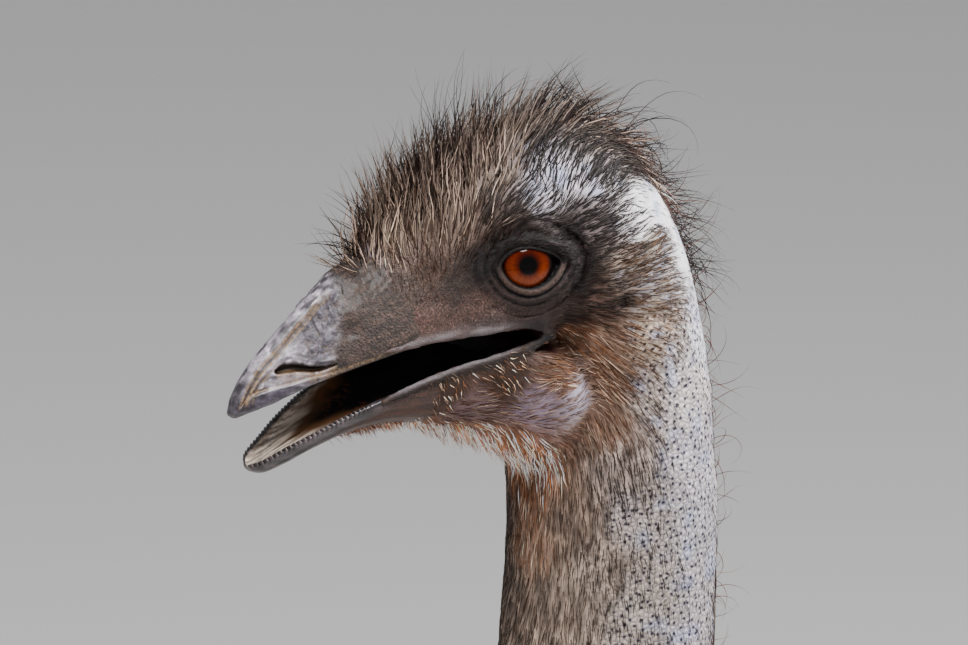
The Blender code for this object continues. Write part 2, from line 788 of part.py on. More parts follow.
def leg_frame(side):
    """The foot's joint and the ankle of one leg."""
    lead = -STRIDE * side
    foot = Vector((side * FOOT_SIDE, FOOT_Y + lead, TOE_ROOT_UP))
    ankle = Vector((side * (FOOT_SIDE - 0.004), FOOT_Y + lead * 0.8 + ANKLE_BACK, ANKLE_UP))
    return foot, ankle


def limb(name, stations, look, count=14, start=None, end=None):
    """A limb through stations: middle, half width across, half depth fore and aft.

    The cap at either end faces along the limb, or along the direction given for it."""
    bm = bmesh.new()
    rows = []
    for k, (middle, wide, deep) in enumerate(stations):
        before = stations[max(0, k - 1)][0]
        after = stations[min(len(stations) - 1, k + 1)][0]
        along = (after - before).normalized()
        if start and k == 0:
            along = start
        if end and k == len(stations) - 1:
            along = end
        across = Vector((1, 0, 0))
        fore = along.cross(across).normalized()
        row = []
        for j in range(count):
            angle = 2 * math.pi * (j + 0.5) / count
            row.append(bm.verts.new(middle + across * wide * math.cos(angle) + fore * deep * math.sin(angle)))
        rows.append(row)
    for row, following in zip(rows, rows[1:]):
        for j in range(count):
            after = (j + 1) % count
            bm.faces.new((row[j], row[after], following[after], following[j]))
    bm.faces.new(rows[0])
    bm.faces.new(reversed(rows[-1]))
    return mesh_object(name, bm, look)


def build_thigh(side, rng, torso):
    """The drumstick: feathered, from inside the belly's plumage down to the ankle."""
    name = "thigh_left" if side > 0 else "thigh_right"
    _, ankle = leg_frame(side)
    top = Vector((side * 0.108, THIGH_TOP_Y, THIGH_TOP_UP))
    sizes = ((0.0, 0.078, 0.118), (0.16, 0.076, 0.112), (0.34, 0.067, 0.096), (0.52, 0.054, 0.074),
             (0.70, 0.040, 0.053), (0.84, 0.029, 0.036), (0.945, 0.0225, 0.0255))
    stations = [(top.lerp(ankle, share) + Vector((0, -0.016 * math.sin(math.pi * share), 0)), wide, deep)
                for share, wide, deep in sizes]
    thigh = limb(name, stations, "feather", 16, end=(ankle - top).normalized())
    fuse(thigh, [torso_cutter()], "DIFFERENCE")
    tree = tree_of(thigh)
    seeds = []
    for share, count in ((0.40, 5), (0.58, 4)):
        middle = top.lerp(ankle, share)
        for k in range(count):
            angle = 2 * math.pi * (k + (0.5 if share > 0.5 else 0) + rng.uniform(-0.12, 0.12)) / count
            aim = middle + Vector((0.2 * math.cos(angle), 0.2 * math.sin(angle), 0))
            near, normal, _, _ = tree.find_nearest(aim)
            seeds.append((near, normal, (ankle - top).normalized()))
    locks = grow_locks(seeds, tree, rng, length=0.095, width=0.050, thickness=0.007, lift=0.3,
                       clearance=0.011, sink=0.008, obstacles=tree_of(torso))
    return fuse(thigh, locks)


def scute(middle, out, along, wide, tall, thick):
    """One plate: a low block, tilted so that its lower edge stands out."""
    bm = bmesh.new()
    bmesh.ops.create_cube(bm, size=1.0)
    for vert in bm.verts:
        if vert.co.z > 0:
            vert.co.x *= 0.78
            vert.co.y *= 0.86
    across = along.cross(out).normalized()
    tilt = Matrix.Rotation(math.radians(7), 3, across)
    basis = Matrix((across, along, out)).transposed()
    frame = (Matrix.Translation(middle) @ (tilt @ basis).to_4x4()
             @ Matrix.Diagonal((wide, tall, thick, 1)))
    bmesh.ops.transform(bm, matrix=frame, verts=bm.verts)
    return mesh_object("scute", bm)


def build_shank(side):
    """The bare scaled leg between ankle and foot, with a row of plates down its front."""
    name = "shank_left" if side > 0 else "shank_right"
    foot, ankle = leg_frame(side)
    top = Vector((side * 0.108, THIGH_TOP_Y, THIGH_TOP_UP))
    start = top.lerp(ankle, 0.945)
    down_thigh = (ankle - top).normalized()
    sizes = ((0.0, 0.0215, 0.025), (0.06, 0.0205, 0.0235), (0.16, 0.0165, 0.0185), (0.40, 0.0140, 0.0160),
             (0.66, 0.0140, 0.0158), (0.86, 0.0165, 0.0185), (1.0, 0.0205, 0.0205))
    along = (foot - ankle).normalized()
    stations = [(start + down_thigh * GAP, 0.0222, 0.0252)]
    stations += [(ankle.lerp(foot, share), wide, deep) for share, wide, deep in sizes]
    shank = limb(name, stations, "leg_scale", 12, start=down_thigh, end=along)
    front = along.cross(Vector((1, 0, 0))).normalized()
    front = -front if front.y > 0 else front
    tree = tree_of(shank)
    plates = []
    count = 11
    for k in range(count):
        share = 0.09 + 0.81 * k / (count - 1)
        aim = ankle.lerp(foot, share)
        near, normal, _, _ = tree.find_nearest(aim + front * 0.05)
        wide = 0.021 + 0.006 * abs(2 * share - 1) ** 2
        plates.append(scute(near, normal, -along, wide, 0.0265, 0.0042))
    return fuse(shank, plates)


TOES = {  # turn outward in degrees, length, half width at the root
    "inner": (-27, 0.098, 0.0150),
    "middle": (0, 0.142, 0.0180),
    "outer": (27, 0.106, 0.0155),
}


def toe_direction(side, turn):
    angle = math.radians(turn + SPLAY_DEG)
    return Vector((side * math.sin(angle), -math.cos(angle), 0))


def toe_rings(side, kind):
    """Places down a toe: middle, half width, height, with the pads of its joints."""
    foot, _ = leg_frame(side)
    turn, length, half = TOES[kind]
    direction = toe_direction(side, turn)
    shape = ((-0.13, 0.80, 0.026), (0.06, 1.0, 0.032), (0.22, 0.92, 0.027), (0.38, 0.98, 0.0255),
             (0.54, 0.80, 0.0210), (0.68, 0.88, 0.0205), (0.86, 0.70, 0.0170), (1.0, 0.58, 0.0140))
    found = []
    for share, wide, tall in shape:
        middle = Vector((foot.x, foot.y, 0)) + direction * length * share
        found.append((middle, half * wide, tall * (half / 0.018) ** 0.5))
    return direction, found


def toe_solid(name, direction, rings, look=None, count=8):
    """A toe that rests on a flat strip: each section is a dome with its foot on the floor."""
    across = direction.cross(Vector((0, 0, 1))).normalized()
    bm = bmesh.new()
    rows = []
    for middle, wide, tall in rings:
        row = []
        for k in range(count):
            angle = 2 * math.pi * (k + 0.5) / count - math.pi / 2
            height = 0.5 + 0.5 * math.sin(angle)
            height = 0.0 if k in (0, count - 1) else max(height, 0.10)
            spread = math.cos(angle)
            spread = math.copysign(0.52, spread) if k in (0, count - 1) else spread
            row.append(bm.verts.new(middle + across * wide * spread + Vector((0, 0, tall * height))))
        rows.append(row)
    for row, following in zip(rows, rows[1:]):
        for k in range(count):
            after = (k + 1) % count
            bm.faces.new((row[k], row[after], following[after], following[k]))
    bm.faces.new(rows[0])
    bm.faces.new(reversed(rows[-1]))
    return mesh_object(name, bm, look)


def build_foot(side):
    """Three toes on one pad, plates along their tops, and a claw at each end."""
    word = "left" if side > 0 else "right"
    foot, ankle = leg_frame(side)
    along = (foot - ankle).normalized()
    stations = [(foot + along * GAP, 0.0205, 0.0205), (foot + Vector((0, -0.005, -0.014)), 0.022, 0.024),
                (foot + Vector((0, -0.006, -0.034)), 0.020, 0.024)]
    pad = limb("foot_" + word, stations, "leg_scale", 12, start=along)
    pieces = []
    for kind in TOES:
        direction, rings = toe_rings(side, kind)
        toe = toe_solid("toe", direction, rings)
        pieces.append(toe)
    solid = fuse(pad, pieces)
    tree = tree_of(solid)
    plates = []
    for kind, (_, length, half) in TOES.items():
        direction, rings = toe_rings(side, kind)
        count = 3 if kind == "middle" else 2
        for k in range(count):
            share = 0.38 + 0.50 * k / (count - 1)
            aim = Vector((foot.x, foot.y, 0.036)) + direction * length * share
            near, normal, _, _ = tree.find_nearest(aim)
            plates.append(scute(near, normal, -direction, half * 1.15, 0.021, 0.0032))
    fuse(solid, plates)
    for kind in TOES:
        direction, rings = toe_rings(side, kind)
        build_claw(f"claw_{kind}_{word}", direction, rings[-1])
    return solid


def build_claw(name, direction, last_ring):
    """A blunt claw, arched above and flat below, that carries on the toe."""
    middle, wide, tall = last_ring
    length = wide * 2.9
    shape = ((0.0, 0.94, 0.93), (0.5, 0.78, 0.78), (0.95, 0.30, 0.30))
    rings = [(middle + direction * (GAP + length * share), wide * across, tall * up)
             for share, across, up in shape]
    return toe_solid(name, direction, rings, "claw")


def trunk_seeds(rng):
    """Rows of locks along the torso, from the spine down the flanks, and round the breast."""
    flanks = seeds_on_body(BODY, (28.45, 29.3, 30.15, 31.0, 31.85, 32.7, 33.5),
                           (0.045, 0.135, 0.225, 0.315), hanging(0.42), rng)
    breast = seeds_on_body(BODY, (28.45, 29.3), (0.40, 0.48), hanging(0.3), rng)
    return flanks + breast


def build_trunk():
    """Torso, tail, wings, drumsticks and lower neck, each with its coat."""
    torso = loft("torso", length_of(BODY, NECK_END, TORSO_END, 2), "feather")
    middle = loft("neck_middle", length_of(BODY, UPPER_NECK_END, MIDDLE_NECK_END, 2), "feather")
    lower = loft("neck_lower", length_of(BODY, MIDDLE_NECK_END, NECK_END, 3), "feather")
    tail = build_tail(torso)
    thighs = [build_thigh(side, draw(9 + side), torso) for side in (1, -1)]
    wings = [build_wing(side, draw(22 + side), torso, thighs) for side in (1, -1)]
    coat_neck(middle, lower, torso, wings)

    obstacles = tree_of(tail, middle, lower, *wings, *thighs)
    ridden = tree_of(torso, *thighs)
    long_locks = grow_locks(trunk_seeds(draw(15)), ridden, draw(16), length=0.225, width=0.086,
                            thickness=0.011, lift=0.28, clearance=COAT_DEPTH * 0.8, sink=0.014, sag=0.1,
                            obstacles=obstacles)
    belly = seeds_on_body(BODY, (30.6, 31.4, 32.2, 33.0), (0.39,), hanging(0.6), draw(17))
    short_locks = grow_locks(belly, tree_of(torso), draw(18), length=0.125, width=0.078, thickness=0.010,
                             lift=0.25, clearance=COAT_DEPTH * 0.5, sink=0.014, obstacles=obstacles)
    fuse(torso, long_locks + short_locks)


def centre_on_floor():
    """Moves every part so that the origin is on the floor at the middle of the box."""
    parts = list(part_collection().objects)
    corners = [obj.matrix_world @ v.co for obj in parts for v in obj.data.vertices]
    low = Vector([min(c[k] for c in corners) for k in range(3)])
    high = Vector([max(c[k] for c in corners) for k in range(3)])
    offset = Vector(((low.x + high.x) / 2, (low.y + high.y) / 2, low.z))
    for obj in parts:
        obj.data.transform(Matrix.Translation(-offset))
    print("moved by", [round(v, 4) for v in -offset])


def smooth_shading():
    for obj in part_collection().objects:
        obj.data.shade_smooth()
        obj.data.set_sharp_from_angle(angle=math.radians(40))


def build_emu():
    clear_scene()
    build_head()
    build_upper_neck()
    build_trunk()
    for side in (1, -1):
        build_shank(side)
        build_foot(side)
    centre_on_floor()
    smooth_shading()


build_emu()
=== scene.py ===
# %% [markdown]
# A life-size standing emu, as a museum shows it, looking out with its bill a little open.
# The solid model of the bird is loaded first and stays fixed. Every piece made here is laid
# over it: one skin, the horn of the bill, the eyes, the claws, and a coat of separate
# hair-like feathers. All of it is placed from the tip of the upper bill, in millimetres:
# x is sideways (the bird's left is positive), y is back towards the tail, and z is up.

import math

import bpy
import numpy as np
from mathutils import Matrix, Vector
from mathutils.bvhtree import BVHTree
from mathutils.kdtree import KDTree

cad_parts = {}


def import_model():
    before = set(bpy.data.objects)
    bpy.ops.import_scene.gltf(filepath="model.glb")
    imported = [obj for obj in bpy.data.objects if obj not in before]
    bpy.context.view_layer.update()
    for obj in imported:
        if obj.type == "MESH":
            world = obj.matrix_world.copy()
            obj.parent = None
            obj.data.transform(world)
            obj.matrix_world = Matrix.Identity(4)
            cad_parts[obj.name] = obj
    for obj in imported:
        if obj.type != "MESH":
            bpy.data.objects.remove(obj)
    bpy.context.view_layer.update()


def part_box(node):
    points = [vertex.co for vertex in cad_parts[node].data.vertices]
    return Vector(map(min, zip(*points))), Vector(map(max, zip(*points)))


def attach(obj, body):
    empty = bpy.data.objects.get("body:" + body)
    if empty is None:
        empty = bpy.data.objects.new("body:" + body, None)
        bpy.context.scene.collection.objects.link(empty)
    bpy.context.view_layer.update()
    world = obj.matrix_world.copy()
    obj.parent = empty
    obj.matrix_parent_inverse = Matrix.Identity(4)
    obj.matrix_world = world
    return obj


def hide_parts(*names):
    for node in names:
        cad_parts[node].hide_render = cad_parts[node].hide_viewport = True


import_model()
bpy.ops.object.select_all(action="DESELECT")

MM = 0.001
SIDES = ((1, "left"), (-1, "right"))
EYE_CENTRE = np.array((17.5, 109.0, 38.0))  # the left eyeball, from the tip of the bill
EYE_RADIUS = 14.5
EYE_FORWARD, EYE_UP = math.radians(28), math.radians(8)


def box_middle(node):
    low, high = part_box(node)
    return (np.array(low) + np.array(high)) / 2


eyes_middle = (box_middle("eye_left") + box_middle("eye_right")) / 2
TIP = eyes_middle - np.array((0, EYE_CENTRE[1], EYE_CENTRE[2])) * MM


def world(points):
    """Metres in the model's frame, from millimetres behind and above the bill's tip."""
    return TIP + np.asarray(points, float) * MM


# %% [markdown]
# An animal has no flat faces and no true circles. Its body is best described as a row of
# sections, each an oval with a top point and a bottom point, a width, and a softer or
# squarer corner. A smooth curve runs through the sections, so a fine surface can be read
# from a short table. The table here repeats the sections of the solid model.

# %% Sections of the body and of the lower jaw
# top y, top z, bottom y, bottom z, half width, level of the widest place, top and bottom squareness
PLAIN = (0.5, 2, 2)  # the last three numbers of a plain oval, whose row leaves them out
BODY = np.array([(*row, *PLAIN)[:8] for row in (
    (0.2, 3.6, 0.8, 0.2, 2.2, 0.4, 2.0, 2.0),
    (3.5, 9.0, 5.5, 0.6, 4.8, 0.16, 1.7, 4.5),
    (9.5, 15.0, 12.6, 2.6, 7.6, 0.1, 1.5, 5),
    (18.5, 22.5, 22, 6.2, 10.8, 0.09, 1.45, 5),
    (30.5, 31.2, 34, 9.8, 14.8, 0.1, 1.5, 5),
    (43, 40.2, 49, 13.0, 18.6, 0.12, 1.55, 5),
    (54, 46.0, 64, 15.4, 21.6, 0.16, 1.65, 4.6),
    (66, 53.5, 77, 16.6, 24.0, 0.26, 1.75, 4),
    (80, 61.5, 89, 17.0, 26.4, 0.42, 1.9, 3.4),
    (96, 69.0, 101, 16.4, 28.8, 0.48, 2.0, 3.2),
    (113, 75.0, 113, 14.0, 31.0, 0.5, 2.1, 2.9),
    (128, 78.2, 123, 8.0, 32.8, 0.5, 2.1, 2.5),
    (143, 77.2, 128.5, 0, 33.4, 0.5, 2.1, 2.3),
    (157, 70.5, 130, -9, 33.0, 0.5, 2.1, 2.2),
    (169, 59.0, 130, -18, 32.4, 0.5, 2.1, 2.2),
    (179.5, 44.0, 128.5, -27, 32.4, 0.5, 2.1, 2.2),
    (187.5, 27, 127, -37, 33.0),
    (192.5, 7, 126.5, -47, 34.0),
    (196.6, -16, 126.8, -59, 34.9),
    (198.6, -40, 127.2, -73, 35.6),
    (199.4, -66, 126.6, -88, 36.2),
    (199.0, -92, 125.2, -104, 36.6),
    (198.4, -114, 123.6, -120, 37.0),
    (196, -177, 119, -183, 38.5),
    (196, -255, 114, -275, 40.5),
    (206, -323, 113, -360, 45),
    (232, -380, 120, -445, 56),
    (272, -425, 136, -533, 74),
    (326, -453, 162, -620, 100),
    (392, -462, 210, -710, 137),
    (467, -457, 292, -793, 173),
    (562, -451, 412, -855, 203),
    (667, -461, 557, -890, 218),
    (772, -495, 707, -897, 212),
    (867, -555, 827, -883, 182),
    (937, -630, 912, -855, 135),
    (982, -705, 967, -820, 82),
    (1002, -750, 996, -783, 30),
)])
JAW = np.array([
    (7.4, -18.8, 8.6, -21.4, 2.4, 0.5, 2, 2),
    (10.5, -17.0, 12.5, -22.4, 6.0, 0.8, 5, 2),
    (18, -13.2, 20, -20.6, 8.8, 0.84, 5, 2),
    (28, -8.6, 30, -16.8, 12.4, 0.86, 5, 2),
    (41, -3.2, 43, -13.6, 15.8, 0.86, 5, 2),
    (56, 1.4, 58.5, -13.4, 18.8, 0.86, 5, 2),
    (70, 4.6, 73, -15.8, 21.4, 0.86, 5, 2),
    (84, 7.4, 87, -20.0, 23.6, 0.84, 4.5, 2),
    (98, 10.0, 100, -25.5, 25.8, 0.8, 4, 2),
    (111, 12.2, 112, -32, 27.6, 0.72, 3, 2),
    (122, 11.5, 121.5, -38.5, 28.4, 0.62, 2.4, 2),
    (133, 6.0, 130, -39.5, 26.0, 0.55, 2, 2),
    (144, 1.0, 139, -33, 19.0, 0.5, 2, 2),
])
BILL_END, JAW_BILL_END = 6, 6


def smooth_curve(before, a, b, after, t):
    """Points between a and b on a curve that passes through both, t of the way along."""
    return 0.5 * (2 * a + (b - before) * t + (2 * before - 5 * a + 4 * b - after) * t ** 2
                  + (3 * a - before - 3 * b + after) * t ** 3)


def sections_at(table, places):
    """The sections at places along a table, on a smooth curve through its rows."""
    places = np.clip(np.atleast_1d(np.asarray(places, float)), 0, len(table) - 1)
    start = np.minimum(places.astype(int), len(table) - 2)
    near = (table[np.clip(start + k, 0, len(table) - 1)] for k in (-1, 0, 1, 2))
    return smooth_curve(*near, (places - start)[:, None])


def section_points(sections, turns):
    """Points round each section: turn 0 is the left side and a quarter the top."""
    turns = np.broadcast_to(turns, (len(sections), np.shape(turns)[-1]))
    top_y, top_z, low_y, low_z, half, level, top_power, low_power = (c[:, None] for c in sections.T)
    across, up = np.cos(2 * np.pi * turns), np.sin(2 * np.pi * turns)
    power = 2 / np.where(up >= 0, top_power, low_power)
    x = half * np.sign(across) * np.abs(across) ** power
    rise = np.sign(up) * np.abs(up) ** power
    share = level + rise * np.where(up >= 0, 1 - level, level)
    return np.stack((x, low_y + (top_y - low_y) * share, low_z + (top_z - low_z) * share), axis=-1)


def even_sections(table, places, count):
    """Points evenly spaced round each section, from the middle of its underside."""
    fine = 720
    dense = section_points(sections_at(table, places), np.arange(fine + 1) / fine - 0.25)
    steps = np.linalg.norm(np.diff(dense, axis=1), axis=2)
    along = np.concatenate((np.zeros((len(dense), 1)), np.cumsum(steps, axis=1)), axis=1)
    rows = []
    for line, distance in zip(dense, along):
        wanted = distance[-1] * np.arange(count) / count
        rows.append(np.stack([np.interp(wanted, distance, line[:, k]) for k in range(3)], axis=-1))
    return np.array(rows)


def unit(vectors):
    return vectors / np.maximum(np.linalg.norm(vectors, axis=-1, keepdims=True), 1e-9)


def length_along(line):
    """How far along a line each of its points is."""
    return np.concatenate(((0,), np.cumsum(np.linalg.norm(np.diff(line, axis=0), axis=1))))


STATIONS = 420
SPINE = sections_at(BODY, np.linspace(0, len(BODY) - 1, STATIONS))
SPINE_TOP, SPINE_BOTTOM = (SPINE[:, start:start + 2] for start in (0, 2))
SPINE_MIDDLE = np.insert((SPINE_TOP + SPINE_BOTTOM) / 2, 0, 0, axis=1)
SPINE_UP = unit(np.insert(SPINE_TOP - SPINE_BOTTOM, 0, 0, axis=1))
SPINE_AHEAD = unit(np.gradient(SPINE_MIDDLE, axis=0))
SPINE_LENGTH = length_along(SPINE_MIDDLE)


def in_blocks(points, size, work):
    """What work finds for the points, taken a block at a time to spare memory."""
    return np.concatenate([work(points[start:start + size]) for start in range(0, len(points), size)])


def nearest_station(points):
    """The station of the body's middle line that is nearest to each point."""
    middle = SPINE_MIDDLE[:, 1:]
    return in_blocks(points, 8000,
                     lambda part: ((part[:, None, 1:] - middle) ** 2).sum(axis=2).argmin(axis=1))


def place_and_turn(points):
    """Where points lie on the body's own shape: the place along it, and the turn round it."""
    nearest = nearest_station(points)
    rise = ((points - SPINE_MIDDLE[nearest]) * SPINE_UP[nearest]).sum(axis=1)
    return nearest * (len(BODY) - 1) / (STATIONS - 1), np.arctan2(rise, points[:, 0]) / (2 * np.pi) + 0.5


print("body of", len(BODY), "sections, jaw of", len(JAW), "and spine of", int(SPINE_LENGTH[-1]), "mm")

# %% [markdown]
# The next helpers turn rows of points into a closed mesh, and give soft random numbers that
# vary smoothly in space, for wrinkles and mottling. They come from a hash of the cell that a
# point falls in, so each run gives the same bird.

# %% Helpers for meshes and soft noise
DEPTH_OF_COLOUR = 1.3


def mesh_piece(name, points, triangles, finished=False):
    """A mesh object from points in millimetres, or in metres where it is finished."""
    mesh = bpy.data.meshes.new(name)
    places = np.asarray(points, float) if finished else world(points)
    a, b, c = (places[triangles[:, k]] - places[0] for k in range(3))
    if (a * np.cross(b, c)).sum() < 0:  # the volume is negative where the faces look inward
        triangles = triangles[:, ::-1]
    mesh.vertices.add(len(places))
    mesh.vertices.foreach_set("co", places.astype(np.float32).ravel())
    mesh.loops.add(triangles.size)
    mesh.loops.foreach_set("vertex_index", np.asarray(triangles, np.int32).ravel())
    mesh.polygons.add(len(triangles))
    mesh.polygons.foreach_set("loop_start", np.arange(0, triangles.size, 3, dtype=np.int32))
    mesh.update(calc_edges=True)
    mesh.shade_smooth()
    piece = bpy.data.objects.new(name, mesh)
    bpy.context.scene.collection.objects.link(piece)
    return piece


def tube_triangles(rows, count, start=0):
    """Triangles between rows of points that each close on themselves."""
    row, column = np.meshgrid(np.arange(rows - 1), np.arange(count), indexing="ij")
    a = start + row * count + column
    b = start + row * count + (column + 1) % count
    first = np.stack((a, b, b + count), axis=-1).reshape(-1, 3)
    second = np.stack((a, b + count, a + count), axis=-1).reshape(-1, 3)
    return np.concatenate((first, second))


def closed_tube(grid):
    """Points and triangles of a tube through rows of points, with a fan at each end."""
    rows, count = grid.shape[:2]
    points = np.concatenate((grid.reshape(-1, 3), grid[:1].mean(axis=1), grid[-1:].mean(axis=1)))
    ring = np.arange(count)
    first = np.stack((np.full(count, rows * count), (ring + 1) % count, ring), axis=-1)
    last = (rows - 1) * count
    second = np.stack((np.full(count, rows * count + 1), last + ring, last + (ring + 1) % count), axis=-1)
    return points, np.concatenate((tube_triangles(rows, count), first, second))


def grid_normals(grid):
    """Directions out of a tube of points, from its rows and columns."""
    round_it = np.roll(grid, -1, axis=1) - np.roll(grid, 1, axis=1)
    out = unit(np.cross(round_it, np.gradient(grid, axis=0)))
    away = grid - grid.mean(axis=1, keepdims=True)
    return out * np.sign((out * away).sum(axis=(1, 2)).sum() or 1)


def noise(points, size, seed=0):
    """Soft noise from -1 to 1, in cells of a size in millimetres, or of three sizes."""
    spot = np.asarray(points, float) / size + seed * 17.3
    cell = np.floor(spot).astype(np.int64)
    share = spot - cell
    share = share * share * (3 - 2 * share)
    total = 0
    for corner in range(8):
        step = np.array((corner & 1, corner >> 1 & 1, corner >> 2))
        key = ((cell + step) * np.array((374761393, 668265263, 1442695041))).sum(axis=-1)
        key = (key ^ key >> 13) * 1274126177 & 0xFFFFFFFF
        value = ((key ^ key >> 16) & 0xFFFF) / 32767.5 - 1
        total = total + value * np.prod(np.where(step, share, 1 - share), axis=-1)
    return total


def hill(distance, width):
    """A soft hill of height 1 that falls away over a width."""
    return np.exp(-(distance / width) ** 2)


def ramp(value, low, high):
    """0 below low, 1 above high, and smooth between; low may be the larger."""
    share = np.clip((value - low) / (high - low), 0, 1)
    return share * share * (3 - 2 * share)


def between(a, b, share):
    return a * (1 - share) + b * share


def mix(a, b, share):
    """Colours between two colours, by a share for each point."""
    return between(np.asarray(a), np.asarray(b), np.asarray(share)[..., None])


def layered(base, *layers):
    """A colour with others laid over it in turn, each with its share."""
    for shade, share in layers:
        base = mix(base, shade, share)
    return base


def linear(shades):
    """Colours as the eye reads them, 0 to 255, made linear and a little deeper."""
    value = np.clip(np.asarray(shades) / 255, 0, 1)
    return np.where(value < 0.04045, value / 12.92, ((value + 0.055) / 1.055) ** 2.4) ** DEPTH_OF_COLOUR


def colour(red, green, blue):
    return linear(np.array((red, green, blue)))


def paint(piece, name, values):
    """Stores a colour or a set of masks on the points of a mesh."""
    values = np.clip(np.asarray(values, np.float32), 0, 1)
    full = np.concatenate((values, np.ones((len(values), 4 - values.shape[1]), np.float32)), axis=1)
    layer = piece.data.color_attributes.new(name, "FLOAT_COLOR", "POINT")
    layer.data.foreach_set("color", full.ravel())


print("helpers ready")

# %% [markdown]
# A finish is a set of shader nodes. Two helpers keep them short: one starts a material, the
# other adds a node and either sets each input or links it. Patterns read Object coordinates,
# which stay with the mesh, or a layer of colours painted on its points.

# %% Helpers for finishes


def start_material(name, **settings):
    """A material and its shader, with constant values set on the shader's own sockets."""
    made = bpy.data.materials.new(name)
    made.use_nodes = True
    shader = made.node_tree.nodes["Principled BSDF"]
    for key, value in settings.items():
        shader.inputs[key.replace("_", " ")].default_value = value
    return made, made.node_tree, shader


def add_node(tree, kind, inputs=None, **settings):
    """A node whose inputs are values or the sockets that feed them."""
    made = tree.nodes.new("ShaderNode" + kind)
    for key, value in settings.items():
        setattr(made, key, value)
    for key, value in (inputs or {}).items():
        socket = made.inputs[key]
        if isinstance(value, bpy.types.NodeSocket):
            tree.links.new(value, socket)
        else:
            socket.default_value = value
    return made


def ramp_node(tree, value, stops):
    """A colour ramp over a value: each stop is a place and a grey level or a colour."""
    made = add_node(tree, "ValToRGB", {"Fac": value})
    points = made.color_ramp.elements
    while len(points) < len(stops):
        points.new(1.0)
    for point, (place, level) in zip(points, stops):
        point.position = place
        point.color = (*level, 1) if np.ndim(level) else (level, level, level, 1)
    return made.outputs["Color"]


def mix_node(tree, a, b, share, blend="MIX"):
    made = add_node(tree, "Mix", data_type="RGBA", blend_type=blend)
    for index, value in ((0, share), (6, a), (7, b)):
        if isinstance(value, bpy.types.NodeSocket):
            tree.links.new(value, made.inputs[index])
        else:
            made.inputs[index].default_value = value if index == 0 else (*np.broadcast_to(value, 3), 1)
    return made.outputs[2]


def math_node(tree, operation, a, b=0.0):
    return add_node(tree, "Math", {0: a, 1: b}, operation=operation).outputs[0]


def spots(tree, scale, kind="Noise", **inputs):
    """A noise or cell pattern over the piece, at a scale in cells to the metre."""
    where = add_node(tree, "TexCoord").outputs["Object"]
    if "stretch" in inputs:
        where = add_node(tree, "Mapping", {"Vector": where, "Scale": inputs.pop("stretch")}).outputs[0]
    settings = {"feature": inputs.pop("feature")} if "feature" in inputs else {}
    return add_node(tree, "Tex" + kind, {"Vector": where, "Scale": scale, **inputs}, **settings)


def layer_node(tree, name):
    return add_node(tree, "Attribute", attribute_name=name)


def painted(tree, name="tint"):
    """The colour painted on the points."""
    return layer_node(tree, name).outputs["Color"]


def masks_of(tree, name="marks"):
    """The three masks painted on the points, each on its own."""
    return add_node(tree, "SeparateColor", {"Color": painted(tree, name)}).outputs


def speckled(tree, base, pattern, stops, share=1.0):
    """A colour made darker and lighter by a pattern; the stops say how much."""
    return mix_node(tree, base, ramp_node(tree, pattern, stops), share, "MULTIPLY")


def feed(shader, value, socket="Base Color"):
    """Links a value to a socket of the shader."""
    shader.id_data.links.new(value, shader.inputs[socket])


def bump_node(tree, shader, height, depth, under=None):
    """Feeds a bump of a depth in metres to the shader."""
    made = add_node(tree, "Bump", {"Height": height, "Distance": depth})
    if under is not None:
        tree.links.new(under, made.inputs["Normal"])
    feed(shader, made.outputs[0], "Normal")
    return made.outputs[0]


print("finish helpers ready")

# %% [markdown]
# The horn of the upper bill is a wedge with a rounded ridge. A raised nail runs down the
# ridge between two grooves, a smooth lip borders the mouth, and a long slit of a nostril
# opens on each side under a soft flap. It is a fine tube through the sections, and each of
# those forms moves its surface in or out by a fraction of a millimetre.

# %% The upper bill
FACE_FORMS = (  # x, y, z, reach and height of the soft rises and hollows of the head
    (24, 100, 57, 13, 2.6), (25, 84, 36, 11, -2.2), (29, 118, 8, 13, 1.8), (32, 150, -14, 16, -1.8),
    (14, 40, 27, 9, 1.4),
)
BILL_BUMPS = (  # x, y, z, reach and height: the knobs of soft skin above the nostril
    (6.7, 34.4, 30.1, 3.0, 1.0), (3.7, 43.7, 39.2, 4.6, 0.8), (7.4, 39.3, 34.0, 2.3, 0.7),
    (14.8, 39.6, 24.6, 4.4, -1.5), (10.5, 31.0, 24.0, 2.6, 0.5), (12.5, 44.0, 30.5, 2.4, 0.5),
    (9.0, 47.5, 38.0, 2.6, 0.4),
)
LIP_LINE = np.array([(0, 2.5), (3, 4.2), (6.6, 6.8), (13, 8.4), (19.2, 9.4), (24.7, 10.9), (30.5, 11.6),
                     (37.2, 12.8), (44, 14.2), (56, 16.6), (70, 19.0), (85, 20.6), (105, 21.0), (120, 15.0)])
NOSTRIL_START, NOSTRIL_LENGTH = 14.8, 19.0


def folded(points):
    """The points with the right side laid over the left."""
    return np.abs(points) * (1, 0, 0) + points * (0, 1, 1)


def soft_forms(points, forms):
    near = folded(points)
    return sum(height * hill(np.linalg.norm(near - (x, y, z), axis=-1), reach)
               for x, y, z, reach, height in forms)


def with_face_forms(points):
    moved = np.array(points)
    moved[..., 0] += np.sign(moved[..., 0]) * soft_forms(points, FACE_FORMS)
    return moved


def nostril(points):
    """How far along the slit a point is, and how far above it in half openings."""
    along = (points[..., 1] - NOSTRIL_START) / NOSTRIL_LENGTH
    middle = 13.0 + 1.3 * along + 0.95 * np.sin(2 * np.pi * np.clip(along, 0, 1)) * (1 - 0.3 * along)
    opening = 0.25 + 1.35 * np.clip(np.sin(np.pi * np.clip(along, 0, 1) ** 0.55), 0, 1)
    return along, points[..., 2] - middle, opening


